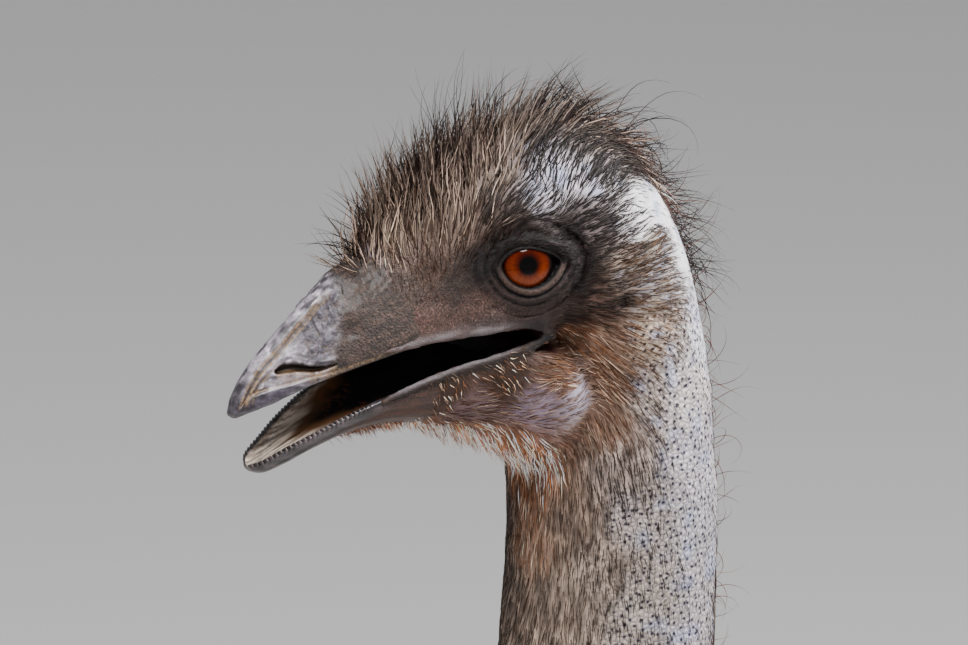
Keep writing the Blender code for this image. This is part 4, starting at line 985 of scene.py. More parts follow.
def closed_curve(corners, count):
    """Even points on a smooth closed curve through the corners."""
    place = np.linspace(0, len(corners), 40 * len(corners), endpoint=False)
    start, t = place.astype(int), (place % 1)[:, None]
    curve = smooth_curve(*(corners[(start + k) % len(corners)] for k in (-1, 0, 1, 2)), t)
    curve = np.vstack((curve, curve[:1]))
    length = length_along(curve)
    wanted = length[-1] * np.arange(count) / count
    return np.stack([np.interp(wanted, length, curve[:, k]) for k in range(2)], axis=-1)


def eye_point(*steps):
    """A point from its steps backward, up and out from the left eye's centre."""
    return EYE_CENTRE + sum(np.asarray(step)[..., None] * way
                            for step, way in zip(steps, (EYE_BACKWARD, EYE_UPWARD, EYE_AXIS)))


opening = closed_curve(OPENING, LID_COLUMNS)
tangent = np.roll(opening, -3, axis=0) - np.roll(opening, 3, axis=0)
outward = unit(np.stack((tangent[:, 1], -tangent[:, 0]), axis=-1))
outward *= np.sign((outward * opening).sum())
fan = unit(opening)
rho = LID_ROWS[:, None]
spread = ramp(LID_ROWS, 2, LID_REACH)[:, None, None]
flat = opening[None] + rho[..., None] * (outward[None] * (1 - spread) + fan[None] * spread)
start_height = np.sqrt(np.maximum(EYE_RADIUS ** 2 - (flat ** 2).sum(axis=2), 36))
edge_height = np.sqrt(np.maximum((EYE_RADIUS + 0.25) ** 2 - (opening ** 2).sum(axis=1), 49))[None]
skin_height = np.zeros(flat.shape[:2])
for row in range(len(LID_ROWS)):
    for column in range(LID_COLUMNS):
        origin = eye_point(flat[row, column, 0], flat[row, column, 1], 40.0)
        hit = head_tree.ray_cast(Vector(origin), Vector(-EYE_AXIS))[0]
        skin_height[row, column] = (np.array(hit) - EYE_CENTRE) @ EYE_AXIS if hit else 9.0
lower = ramp(outward[:, 1], 0.35, -0.35)[None]
base = between(edge_height + 1.5, skin_height, ramp(rho, 0.9, LID_REACH - 0.6))
folds = (lower * (0.45 * hill(rho - 1.9, 1.0) - 1.0 * hill(rho - 3.6, 0.5) + 0.5 * hill(rho - 4.9, 0.9)
                  - 0.6 * hill(rho - 6.5, 0.45) + 0.3 * hill(rho - 7.8, 0.9))
         + (1 - lower) * (-0.6 * hill(rho - 1.9, 0.45) + 1.2 * hill(rho - 4.4, 1.8)))
rolled = between(edge_height - 0.1, base, ramp(rho, -0.1, 0.95))
height = np.where(rho < 0, start_height - 0.1 + 1.1 * rho, rolled + folds * ramp(rho, 0.4, 1.4))
height = height - 0.9 * ramp(rho, LID_REACH - 4.5, LID_REACH)
lid_grid = eye_point(flat[..., 0], flat[..., 1], height)
rough = 0.16 * noise(lid_grid, 1.2, 41) + 0.3 * noise(lid_grid, (2.2, 3.2, 1.3), 42) * ramp(rho, 3, 6)
lid_grid += (rough * ramp(rho, 0.5, 1.5))[..., None] * EYE_AXIS
lid_triangles = tube_triangles(len(LID_ROWS) + 1, LID_COLUMNS) % (len(LID_ROWS) * LID_COLUMNS)
lid_points = lid_grid.reshape(-1, 3)
under_lids = np.zeros(len(head_points))
from_eye = folded(head_points) - EYE_CENTRE
flat_place = np.stack((from_eye @ EYE_BACKWARD, from_eye @ EYE_UPWARD), axis=-1)
near_eye = (from_eye @ EYE_AXIS > 4) & (np.linalg.norm(flat_place, axis=1) < 26)
for index in np.nonzero(near_eye)[0]:
    gaps = np.linalg.norm(opening - flat_place[index], axis=1)
    nearest_column = int(gaps.argmin())
    beyond = (flat_place[index] - opening[nearest_column]) @ outward[nearest_column]
    reach = gaps[nearest_column] if beyond > 0 else -1.0
    under_lids[index] = 3.2 * ramp(reach, LID_REACH - 0.8, LID_REACH - 2.4)
inward = EYE_AXIS * np.where(head_points[:, :1] < 0, (-1, 1, 1), (1, 1, 1))
set_points(head_skin, head_points - under_lids[:, None] * inward)
head_points, _ = points_of(head_skin)
lids = [mesh_piece("lids_" + word, lid_points * (side, 1, 1), lid_triangles) for side, word in SIDES]
print("lids:", len(lid_triangles), "triangles an eye")

# %% [markdown]
# The colours of the face are read from the map and then shaded by its forms: the margin of
# each lid is black, the lower lid a worn tan, its creases dark with painted shade, and the
# inside of the mouth almost black with painted shade and a dull red at its corner. Painted
# shade also fills the ear's cup, a painted shadow of the brow falls in front of each eye, and
# a painted highlight runs along the lower lip. A second layer holds masks for the finish: how
# pebbled, how leathery and how moist the skin is.

# %% Paint the head


def skin_colours(points):
    """Linear colours and finish masks for skin of the head and neck."""
    side, back, up = folded(points).T
    shades = from_map(points, SKIN_SHADE)
    shades = shades * (1 + 0.06 * noise(points, 5, 51) + 0.05 * noise(points, 2, 52))[:, None]
    bare = ramp(shades.mean(axis=1), 128, 178)
    bluish = ramp(shades.mean(axis=1), 150, 195) * ramp(noise(points, 6, 53), 0.1, 0.8)
    shades = mix(shades, (176, 184, 214), 0.55 * bluish)
    neck = ramp(up, 32, 8) * ramp(back, 126, 138)
    front = ramp(up, -20, -36) * ramp(shades.mean(axis=1), 186, 150)
    shades = shades * (1 + 0.34 * front * noise(points, (1.7, 1.7, 5.5), 54))[:, None]
    lip = hill(np.abs(up - np.interp(back, UPPER_LIP[:, 1], UPPER_LIP[:, 2] + 0.6)), 1.7)
    lip = lip * ramp(back, 118, 108) * ramp(side, 10, 16) * ramp(back, 50, 56)
    worn = ramp(noise(points, (2, 5, 1.1), 55), -0.1, 0.5) * ramp(back, 66, 84)
    lip_shade = mix((116, 108, 110), (70, 52, 45), 0.8 * worn)
    shades = mix(shades, mix(lip_shade, (34, 25, 23), ramp(back, 92, 112)), lip * 0.9)
    gape = np.interp(back, (50, 64, 77, 89, 101, 113, 122), (15.2, 16.2, 17.2, 17.2, 16.6, 15.0, 13.0))
    floor = np.interp(back, (50, 56, 70, 84, 98, 111, 122), (0.5, 1.4, 4.6, 7.4, 10.0, 12.2, 12.6))
    within = ramp(up, gape + 0.6, gape - 0.6) * ramp(up, floor - 9, floor - 6) * ramp(back, 124, 120)
    inner = np.interp(back, (50, 64, 84, 111, 122), (17.2, 19.4, 21.6, 24.5, 25.5))
    within = within * ramp(side, inner, inner - 1.2) * ((up > floor - 0.8) | (side < inner - 1.4))
    # inside the mouth the skin is painted almost black, painted shade in the cavity, turning dull red towards
    # the corner
    dark = mix((9, 4, 4), (66, 20, 20), ramp(back, 88, 112))
    lower_line = np.interp(back, LOWER_LIP[:, 1], LOWER_LIP[:, 2])
    rim = ramp(np.abs(up - lower_line + 0.2), 2.4, 1.6) * ramp(side, inner - 2.4, inner - 1.2)
    rim = rim * ramp(back, 120, 116) * ramp(back, 50, 54)
    # a painted highlight along the top of the lower lip, fading towards the corner; the gloss of the finish
    # follows it
    lip_highlight = hill(up - lower_line - 1.6, 0.6) * (1 - 0.9 * ramp(back, 90, 112))
    edge = mix((52, 39, 34), (132, 126, 130), lip_highlight)
    edge = mix(edge, (28, 20, 19), ramp(back, 104, 114))
    # the ear's cup is painted dark: painted shade in the hollow
    ear = hill(np.linalg.norm(folded(points) - EAR, axis=1), 3.2)
    shades = layered(shades, (dark, within), (edge, rim), ((60, 40, 36), ear))
    leather = ramp(back, 50, 58) * ramp(back, 118, 108) * ramp(up, 14, 20) * ramp(up, 52, 44)
    moist = np.clip(0.7 * lip + rim * (0.15 + 0.8 * lip_highlight), 0, 1) * ramp(back, 114, 106)
    return linear(shades), np.stack((bare * neck, leather * (1 - lip), moist), axis=-1), within


places, out = points_of(head_skin)
tint, marks, within_mouth = skin_colours(places)
deep_mouth = (within_mouth > 0.5) & (places[:, 1] < 100)
paint(head_skin, "tint", tint)
paint(head_skin, "marks", marks)
CHART_SIZE, NECK_RADIUS = 2500.0, 36.0
station = nearest_station(places)
from_station = places - SPINE_MIDDLE[station]
along_neck = SPINE_LENGTH[station] + (from_station * SPINE_AHEAD[station]).sum(axis=1)
round_neck = NECK_RADIUS * np.arctan2(np.abs(places[:, 0]), (from_station * SPINE_UP[station]).sum(axis=1))
paint(head_skin, "chart", np.stack((along_neck, round_neck), axis=-1) / CHART_SIZE)

lid_rho = np.broadcast_to(rho, flat.shape[:2]).reshape(-1)
lid_lower = np.broadcast_to(lower, flat.shape[:2]).reshape(-1)
lid_tint, lid_masks, _ = skin_colours(lid_points)
lid_back, lid_up = ((lid_points - EYE_CENTRE) @ way for way in (EYE_BACKWARD, EYE_UPWARD))
# painted shade in the lids' creases
crease_shade = np.clip(hill(lid_rho - 3.6, 0.6) * lid_lower + 0.6 * hill(lid_rho - 6.5, 0.5), 0, 1)
lid_tint = layered(
    lid_tint, (colour(42, 24, 17), ramp(lid_rho, 10.5, 5)),
    (colour(98, 80, 72), lid_lower * ramp(lid_rho, 0.9, 1.4) * ramp(lid_rho, 3.2, 2.6) * 0.85),
    (colour(30, 18, 14), (1 - lid_lower) * ramp(lid_rho, 0.2, 0.8) * ramp(lid_rho, 9, 4) * 0.9),
    (colour(20, 13, 12), crease_shade),
    (colour(74, 57, 51), lid_lower * (hill(lid_rho - 4.9, 0.8) + 0.7 * hill(lid_rho - 7.8, 0.9)) * 0.7),
    # in front of the eye: the dark skin of its corner, deepened by a painted shadow of the brow
    (colour(28, 14, 10), ramp(lid_back, -7, -11) * ramp(lid_up, -7, -2) * 0.8),
    (colour(8, 5, 5), ramp(lid_rho, 1.1, 0.6)))
outer = ramp(lid_rho, 5, 9)  # here the lids take on the finish of the skin round them
leather = between(0.8 * ramp(lid_rho, 0.5, 2), lid_masks[:, 1], outer)
for piece in lids:
    paint(piece, "tint", lid_tint)
    paint(piece, "marks", np.stack((lid_masks[:, 0] * outer, leather, ramp(lid_rho, 0.9, 0.3)), axis=-1))
print("head painted")

# %% [markdown]
# Each eye starts as a ball from the sphere tool, turned so that its pole looks out of the
# head. Points near the pole are pushed out for the clear bulge of the cornea. The distance
# from the pole is stored on the points, and the finish turns it into a black pupil, an amber
# iris with fine spokes, and a black rim. A painted shadow of the brow darkens the top of the iris.

# %% Eyes
PUPIL, IRIS, RING_SPAN = 2.75, 7.8, 15.0
CORNEA_RISE = 1.3


def make_eye(name, side):
    axis = EYE_AXIS * (side, 1, 1)
    bpy.ops.object.select_all(action="DESELECT")
    bpy.ops.mesh.primitive_uv_sphere_add(segments=96, ring_count=64, radius=EYE_RADIUS * MM)
    ball = bpy.context.object
    ball.name = ball.data.name = name
    ball.rotation_mode = "QUATERNION"
    ball.rotation_quaternion = Vector(axis).to_track_quat("Z", "Y")
    ball.location = world(EYE_CENTRE * (side, 1, 1))
    bpy.ops.object.transform_apply(location=True, rotation=True, scale=True)
    ball.data.shade_smooth()
    places, _ = points_of(ball)
    ray = (places - EYE_CENTRE * (side, 1, 1)) / EYE_RADIUS
    angle = np.degrees(np.arccos(np.clip(ray @ axis, -1, 1)))
    set_points(ball, places + ray * (CORNEA_RISE * ramp(angle, 52, 12))[:, None])
    from_pole = EYE_RADIUS * np.sin(np.radians(np.minimum(angle, 90))) / RING_SPAN
    across = np.cross((0, 0, 1.0), axis)
    turn = np.arctan2(ray @ np.cross(axis, across), ray @ across)
    paint(ball, "iris", np.stack((from_pole, 0.5 + 0.5 * np.cos(turn), 0.5 + 0.5 * np.sin(turn)), axis=-1))
    return ball


iris, tree, shader = start_material("iris", Roughness=0.04, IOR=1.38, Specular_IOR_Level=0.3)
parts = masks_of(tree, "iris")
stretched = {place: math_node(tree, "MULTIPLY", parts[part], times)
             for place, (part, times) in enumerate(((1, 26.0), (2, 26.0), (0, 3.0)))}
spokes_at = add_node(tree, "CombineXYZ", stretched).outputs[0]
spokes = add_node(tree, "TexNoise", {"Vector": spokes_at, "Scale": 1.0, "Detail": 5.0}).outputs["Fac"]
edge_wobble = math_node(tree, "MULTIPLY", math_node(tree, "SUBTRACT", spokes, 0.5), 0.03)
radius = math_node(tree, "ADD", parts[0], edge_wobble)
pupil_edge, iris_edge = PUPIL / RING_SPAN, IRIS / RING_SPAN
rings = ramp_node(tree, radius, (
    (0, (0.0015, 0.001, 0.001)), (pupil_edge - 0.012, (0.0015, 0.001, 0.001)),
    (pupil_edge + 0.03, colour(80, 32, 5)), (0.33, colour(128, 62, 2)), (0.43, colour(118, 54, 2)),
    (iris_edge - 0.035, colour(70, 28, 4)), (iris_edge + 0.012, (0.003, 0.002, 0.002))))
lit = speckled(tree, rings, spokes, ((0.34, 0.55), (0.66, 1.35)), 0.7)
# a painted shadow of the brow: the iris darkens towards its top
brow_shadow = ((0.15, (1.15, 1.15, 1.1)), (0.55, (0.72, 0.55, 0.5)), (0.9, (0.36, 0.14, 0.16)))
feed(shader, speckled(tree, lit, parts[2], brow_shadow, 0.9))
for side, word in SIDES:
    ball = make_eye("eyeball_" + word, side)
    ball.data.materials.append(iris)
    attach(ball, "root")
    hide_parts("eye_" + word)
print("eyes", round(2 * EYE_RADIUS, 1), "mm across")

# %% [markdown]
# The trunk is one skin too: the lower neck and body, the two drumsticks and the two small
# wings are laid into one another and remeshed. Plumage will cover it all, so it can be
# coarse, and it lies a little inside the body's outline where the feathers stand on it.

# %% Skin of the trunk, drumsticks and wings
FLOOR = -TIP[2] / MM
TRUNK_VOXEL = 12.0
THIGH_TOP = np.array((108, 567, -810.0))
THIGH_SIZES = np.array([(0, 78, 118), (0.16, 76, 112), (0.34, 67, 96), (0.52, 54, 74), (0.70, 40, 53),
                        (0.84, 29, 36), (0.945, 22.5, 25.5)])
WING_ROOT, WING_TIP = np.array((178, 412, -620.0)), np.array((222, 607, -710.0))
WING_SIZES = np.array([(0, 16), (0.12, 33), (0.35, 42), (0.6, 37), (0.85, 26), (1, 10)])


def leg_joints(side):
    """The foot's joint and the ankle of one leg; the left foot stands a little ahead."""
    lead = -16.0 * side
    return (np.array((115.0, 620 + lead, 46 + FLOOR)) * (side, 1, 1),
            np.array((111.0, 698 + 0.8 * lead, 392 + FLOOR)) * (side, 1, 1))


def under_foot(side):
    """The spot on the floor under the joint of one foot."""
    foot, _ = leg_joints(side)
    return np.array((foot[0], foot[1], FLOOR))


def limb_grid(stations, steps, count):
    """Rows of points round a limb through stations of middle, half width and half depth."""
    rows = sections_at(np.array(stations), np.linspace(0, len(stations) - 1, steps))
    fore = unit(np.cross(np.gradient(rows[:, :3], axis=0), (1, 0, 0)))
    angle = 2 * np.pi * np.arange(count)[:, None] / count
    wide = rows[:, 3, None, None] * np.cos(angle) * np.array((1, 0, 0))
    deep = rows[:, 4, None, None] * np.sin(angle) * fore[:, None]
    return rows[:, None, :3] + wide + deep


def thigh_stations(side):
    _, ankle = leg_joints(side)
    top = THIGH_TOP * (side, 1, 1)
    return [(*(top + (ankle - top) * share - (0, 16 * math.sin(math.pi * share), 0)), wide, deep)
            for share, wide, deep in THIGH_SIZES]


def wing_grid(side):
    root, tip = WING_ROOT * (side, 1, 1), WING_TIP * (side, 1, 1)
    rows = sections_at(WING_SIZES, np.linspace(0, 5, 40))
    angle = 2 * np.pi * np.arange(24) / 24
    ring = np.stack((side * 30 / 42 * np.cos(angle), 0.42 * np.sin(angle), np.sin(angle)), axis=-1)
    middle = root + (tip - root) * rows[:, :1]
    return middle[:, None] + ring[None] * (rows[:, 1, None, None] - 2)


trunk_places = np.linspace(NECK_SKIN_END - 0.5, len(BODY) - 1, 150)
trunk_grid = even_sections(BODY, trunk_places, 96)
trunk_depth = np.interp(trunk_places, (23.3, 24.5, 28, 30, 37), (0.8, 2, 6, 9, 9))
trunk_grid -= grid_normals(trunk_grid) * trunk_depth[:, None, None]
trunk_skin = joined("trunk_skin", [closed_tube(trunk_grid)]
                    + [closed_tube(limb_grid(thigh_stations(side), 60, 48)) for side in (1, -1)]
                    + [closed_tube(wing_grid(side)) for side in (1, -1)])
apply_modifier(trunk_skin, "REMESH", mode="VOXEL", voxel_size=TRUNK_VOXEL * MM, use_smooth_shade=True)
apply_modifier(trunk_skin, "SMOOTH", factor=0.5, iterations=4)
print("trunk skin:", len(trunk_skin.data.vertices), "points")

# %% [markdown]
# An emu's leg is bare from the ankle down. Plates like roof tiles run down its front and
# along the tops of its three toes, and small knobbly scales cover the rest. The plates are
# raised on a fine remeshed skin: each is thickest at its lower edge, and a groove divides it
# from the next. The soles are cut flat on the floor.

# %% Skin of the legs and toes
LEG_VOXEL = 2.1
SHANK_SIZES = np.array([(0, 21.5, 25), (0.06, 20.5, 23.5), (0.16, 16.5, 18.5), (0.40, 14, 16),
                        (0.66, 14, 15.8), (0.86, 16.5, 18.5), (1, 20.5, 20.5)])
TOES = {"inner": (-27, 98, 15.0), "middle": (0, 142, 18.0), "outer": (27, 106, 15.5)}
TOE_SPLAY = 7
TOE_SIZES = np.array([(-0.13, 0.80, 26), (0.06, 1.0, 32), (0.22, 0.92, 27), (0.38, 0.98, 25.5),
                      (0.54, 0.80, 21), (0.68, 0.88, 20.5), (0.86, 0.70, 17), (1.0, 0.58, 14)])
SHANK_PLATE, TOE_PLATE = 13.0, 7.5


def toe_direction(side, kind):
    angle = math.radians(TOES[kind][0] + TOE_SPLAY)
    return np.array((side * math.sin(angle), -math.cos(angle), 0))


def dome_grid(middles, wide, tall, across, count):
    """Rows of domes that rest on the floor, with round sides and a flattened sole."""
    angle = 2 * np.pi * np.arange(count) / count - np.pi / 2
    height = np.clip(0.5 + 0.62 * np.sin(angle), 0, 1) ** 0.9
    spread = np.sign(np.cos(angle)) * np.abs(np.cos(angle)) ** 0.85
    return (middles[:, None] + across * (wide[:, None] * spread)[..., None]
            + np.array((0, 0, 1.0)) * (tall[:, None] * height)[..., None])


def toe_grid(side, kind, steps=60, count=40):
    _, length, half = TOES[kind]
    rows = sections_at(TOE_SIZES, np.linspace(0, len(TOE_SIZES) - 1, steps))
    direction = toe_direction(side, kind)
    middles = under_foot(side) + direction * (length * rows[:, :1])
    return dome_grid(middles, half * rows[:, 1], rows[:, 2] * (half / 18) ** 0.5,
                     np.cross(direction, (0, 0, 1.0)), count)


def leg_tubes(side):
    foot, ankle = leg_joints(side)
    shank = [(*(ankle + (foot - ankle) * share), wide, deep) for share, wide, deep in SHANK_SIZES]
    pad = [(*(foot + np.array(step)), wide, deep) for step, wide, deep in (
        ((0, 1, 6), 20, 20), ((0, -5, -14), 22, 24), ((0, -6, -34), 20, 24), ((0, -6, -44), 18, 22))]
    top = thigh_stations(side)[4:]
    bend = [(*shank[0][:3], 22, 25.5), shank[1]]
    return ([closed_tube(limb_grid(top + bend, 60, 60)), closed_tube(limb_grid(shank, 120, 60)),
             closed_tube(limb_grid(pad, 30, 60))] + [closed_tube(toe_grid(side, kind)) for kind in TOES])


leg_skin = joined("leg_skin", leg_tubes(1) + leg_tubes(-1))
apply_modifier(leg_skin, "REMESH", mode="VOXEL", voxel_size=LEG_VOXEL * MM, use_smooth_shade=True)
apply_modifier(leg_skin, "SMOOTH", factor=0.5, iterations=3)
places, out = points_of(leg_skin)
leg_side = np.sign(places[:, 0])
leg_relief, plate_edge, plated = np.zeros((3, len(places)))


def lay_plates(here, row, fullest, plain, step, edge):
    """Raises plates like roof tiles; row is how far down its own plate each point is."""
    leg_relief[:] += here * (plain + step * (ramp(row, 0, fullest) - ramp(row, fullest + 0.05, 1.0)))
    plate_edge[:] += here * hill(row - edge[0], edge[1])
    plated[:] += here


for side in (1, -1):
    foot, ankle = leg_joints(side)
    here = leg_side == side
    shank_length = np.linalg.norm(foot - ankle)
    down = (foot - ankle) / shank_length
    along = (places - ankle) @ down
    front = np.cross(down, (1, 0, 0))
    front *= -np.sign(front[1])
    facing = ramp(out @ front, 0.45, 0.8) * ramp(along, 12, 30)
    facing = facing * ramp(along, shank_length + 8, shank_length - 14)
    row = (along + 6.4 * out[:, 0] ** 2) / SHANK_PLATE % 1
    lay_plates(here * facing, row, 0.85, 0.3, 1.5, (0.97, 0.05))
    for kind, (_, length, half) in TOES.items():
        direction = toe_direction(side, kind)
        across = np.cross(direction, (0, 0, 1.0))
        from_foot = places - under_foot(side)
        along = from_foot @ direction
        off = np.abs(from_foot @ across)
        topside = ramp(out[:, 2], 0.35, 0.75) * ramp(off, half, half * 0.8) * ramp(along, 26, 36)
        lay_plates(here * topside, (along - 0.02 * off ** 2) / TOE_PLATE % 1, 0.8, 0.2, 0.9, (0.95, 0.07))
leg_relief += (1 - np.clip(plated, 0, 1)) * 0.35 * noise(places, 4.0, 61) + 0.3 * noise(places, 14, 62)
places = places + out * leg_relief[:, None]
places[:, 2] = np.maximum(places[:, 2], FLOOR)
set_points(leg_skin, places)
print("leg skin:", len(places), "points")

plated = np.clip(plated, 0, 1)
dusty = ramp(places[:, 2], FLOOR + 40, FLOOR + 4)
leg_tint = layered(
    mix(colour(104, 92, 80), colour(74, 65, 58), ramp(noise(places, 30, 63), -0.5, 0.6)),
    (colour(128, 114, 98), plated * 0.55), (colour(44, 37, 33), np.clip(plate_edge, 0, 1) * 0.85),
    (colour(150, 122, 90), 0.6 * dusty * ramp(noise(places, 7, 64), -0.2, 0.6)))
paint(leg_skin, "tint", leg_tint)
paint(leg_skin, "marks", np.stack((1 - plated, plate_edge, 0 * plated), axis=-1))

# %% [markdown]
# Each toe ends in a blunt, strong claw of dark horn. It is a short arched tube that narrows
# and dips towards its tip, and is paler towards its top in broken streaks.

# %% Claws
CLAW_SIZES = np.array([(-0.12, 0.90, 0.95), (0.0, 0.96, 0.98), (0.25, 0.92, 0.92), (0.5, 0.80, 0.80),
                       (0.75, 0.58, 0.60), (0.92, 0.36, 0.38), (0.99, 0.14, 0.18)])


def make_claw(side, kind, word):
    _, length, half = TOES[kind]
    direction = toe_direction(side, kind)
    half_wide, tall = half * TOE_SIZES[-1, 1], TOE_SIZES[-1, 2] * (half / 18) ** 0.5
    rows = sections_at(CLAW_SIZES, np.linspace(0, len(CLAW_SIZES) - 1, 34))
    middles = under_foot(side) + direction * (length + 0.4 + half_wide * 2.75 * rows[:, :1])
    grid = dome_grid(middles, half_wide * rows[:, 1], tall * rows[:, 2],
                     np.cross(direction, (0, 0, 1.0)), 40)
    grid[..., 2] = np.maximum(grid[..., 2] + 0.12 * noise(grid, (2, 9, 2), 71), FLOOR)
    points, triangles = closed_tube(grid)
    claw = mesh_piece(f"horn_claw_{kind}_{word}", points, triangles)
    edge = ramp(points[:, 2] - FLOOR, tall * 0.3, tall) * ramp(noise(points, (2, 6, 2), 72), -0.6, 0.6)
    paint(claw, "tint", mix(colour(42, 38, 36), colour(86, 78, 72), edge))
    return claw


claw_horn, tree, shader = start_material("claw_horn", Roughness=0.38)
claw_streaks = spots(tree, 300, stretch=(1.0, 0.2, 1.0), Detail=5.0).outputs["Fac"]
feed(shader, speckled(tree, painted(tree), claw_streaks, ((0.3, 0.6), (0.7, 1.3)), 0.7))
bump_node(tree, shader, claw_streaks, 0.0004)
for side, word in SIDES:
    for kind in TOES:
        claw = make_claw(side, kind, word)
        claw.data.materials.append(claw_horn)
        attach(claw, "root")
        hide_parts(f"claw_{kind}_{word}")
print("6 claws")

# %% [markdown]
# The finish of the skin depends on where it is. Round the eye it is dark leather with pale
# flecks. The bare side of the neck is pale and pebbled, with a dark dot at each follicle. The
# legs have knobbly scales between the plates. One object holds all three, so no seam shows.

# %% Finish of the skin
skin_look, tree, shader = start_material("skin", Specular_IOR_Level=0.3, Subsurface_Weight=0.05,
                                         Subsurface_Scale=0.002)
shader.inputs["Subsurface Radius"].default_value = (1.0, 0.5, 0.35)
tint, marks = painted(tree), masks_of(tree)
PEBBLE, FOLLICLE = 2.1, 3.1
chart = layer_node(tree, "chart").outputs["Vector"]
cells = add_node(tree, "TexVoronoi", {"Vector": chart, "Scale": CHART_SIZE / PEBBLE},
                 voronoi_dimensions="2D", feature="DISTANCE_TO_EDGE").outputs["Distance"]
dots = add_node(tree, "TexVoronoi", {"Vector": chart, "Scale": CHART_SIZE / FOLLICLE, "Randomness": 0.8},
                voronoi_dimensions="2D").outputs["Distance"]
speck = spots(tree, 1500, Detail=3.0, Roughness=0.7).outputs["Fac"]
mottle = spots(tree, 260, Detail=6.0, Roughness=0.6).outputs["Fac"]
cracks = ((0.0, (0.44, 0.44, 0.5)), (0.12, (0.84, 0.83, 0.84)), (0.4, (1.08, 1.07, 1.05)))
pores = ((0.12, (0.05, 0.05, 0.08)), (0.2, (0.6, 0.6, 0.66)), (0.33, (1, 1, 1)))
bare = speckled(tree, speckled(tree, tint, cells, cracks), dots, pores)
shade = mix_node(tree, tint, bare, marks[0])
leather = speckled(tree, shade, speck, ((0.36, 0.32), (0.55, 0.9), (0.72, 2.7)))
shade = mix_node(tree, shade, leather, marks[1])
feed(shader, speckled(tree, shade, mottle, ((0.3, 0.72), (0.7, 1.2)), 0.6))
feed(shader, mix_node(tree, 0.62, 0.30, marks[2]), "Roughness")
low = bump_node(tree, shader, mix_node(tree, mottle, cells, marks[0]), 0.0009)
bump_node(tree, shader, speck, 0.0004, under=low)

scales_look, tree, shader = start_material("leg_scales", Roughness=0.6)
tint, marks = painted(tree), masks_of(tree)
scale_edge = spots(tree, 190, kind="Voronoi", feature="DISTANCE_TO_EDGE").outputs["Distance"]
grit = spots(tree, 900, Detail=5.0).outputs["Fac"]
gaps = speckled(tree, tint, scale_edge, ((0.02, 0.35), (0.14, 0.9), (0.4, 1.12)))
feed(shader, speckled(tree, mix_node(tree, tint, gaps, marks[0]), grit, ((0.3, 0.7), (0.7, 1.3)), 0.6))
domed = ramp_node(tree, scale_edge, ((0.0, 0.0), (0.2, 0.8), (0.5, 1.0)))
low = bump_node(tree, shader, math_node(tree, "MULTIPLY", domed, marks[0]), 0.0012)
bump_node(tree, shader, grit, 0.0003, under=low)

trunk_tint = np.broadcast_to(colour(46, 35, 28), (len(trunk_skin.data.vertices), 3))
paint(trunk_skin, "tint", trunk_tint)
paint(trunk_skin, "marks", 0 * trunk_tint)
apply_modifier(leg_skin, "DECIMATE", ratio=0.4)
for piece in (head_skin, trunk_skin, leg_skin, *lids):
    piece.data.materials.append(scales_look if piece is leg_skin else skin_look)
give_mouth(head_skin, deep_mouth)


def surface_of(piece):
    """A mesh's points, the directions out of it, and its triangles."""
    piece.data.calc_loop_triangles()
    triangles = np.zeros(3 * len(piece.data.loop_triangles), np.int32)
    piece.data.loop_triangles.foreach_get("vertices", triangles)
    return (*points_of(piece), triangles.reshape(-1, 3))


def merged(surfaces):
    """Several surfaces as one."""
    points, out, triangles = zip(*surfaces)
    starts = np.cumsum([0] + [len(part) for part in points])
    return (np.concatenate(points), np.concatenate(out),
            np.concatenate([part + start for part, start in zip(triangles, starts)]))


head_surface, trunk_surface, bill_surface = map(surface_of, (head_skin, trunk_skin, lower_bill))
lids_surface = merged([surface_of(piece) for piece in lids])
bpy.ops.object.select_all(action="DESELECT")
for piece in (head_skin, trunk_skin, leg_skin, *lids):
    piece.select_set(True)
bpy.context.view_layer.objects.active = head_skin
bpy.ops.object.join()
skin = bpy.context.object
skin.name = skin.data.name = "skin"
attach(skin, "root")
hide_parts("head", "neck_upper", "neck_middle", "neck_lower", "torso", "tail",
            *(part + word for part in ("wing", "thigh", "shank", "foot") for word in ("_left", "_right")))
print("skin:", sum(len(p.vertices) - 2 for p in skin.data.polygons), "triangles")

# %% [markdown]
# An emu's coat has no flat vanes: its feathers are loose shafts with soft barbs, fine as
# hair on the head and long and drooping on the body. Each shaft is a thin tapered mesh tube
# with three sides, so the coat stays solid. A root is drawn on the skin, the shaft sets off
# along the lie of the coat, and at each step it is held just clear of the skin below it.

# %% Helpers that draw roots and grow shafts
skin_tree = tree_of(skin)


def scatter(surface, density_of, seed):
    """Roots drawn on a surface at a density in each square millimetre, and the directions out."""
    points, out, triangles = surface
    corners = points[triangles]
    area = np.linalg.norm(np.cross(corners[:, 1] - corners[:, 0], corners[:, 2] - corners[:, 0]), axis=1) / 2
    weight = area * density_of(corners.mean(axis=1))
    rng = np.random.default_rng(seed)
    count = int(weight.sum())
    pick = np.searchsorted(np.cumsum(weight), (np.arange(count) + rng.random(count)) * weight.sum() / count)
    pick = np.minimum(pick, len(triangles) - 1)
    share = rng.dirichlet((1, 1, 1), count)[..., None]
    return (corners[pick] * share).sum(axis=1), unit((out[triangles[pick]] * share).sum(axis=1)), rng


def nearest_skin(points):
    found = [skin_tree.find_nearest(Vector(point)) for point in points]
    return np.array([f[0] for f in found]), np.array([f[1] for f in found])


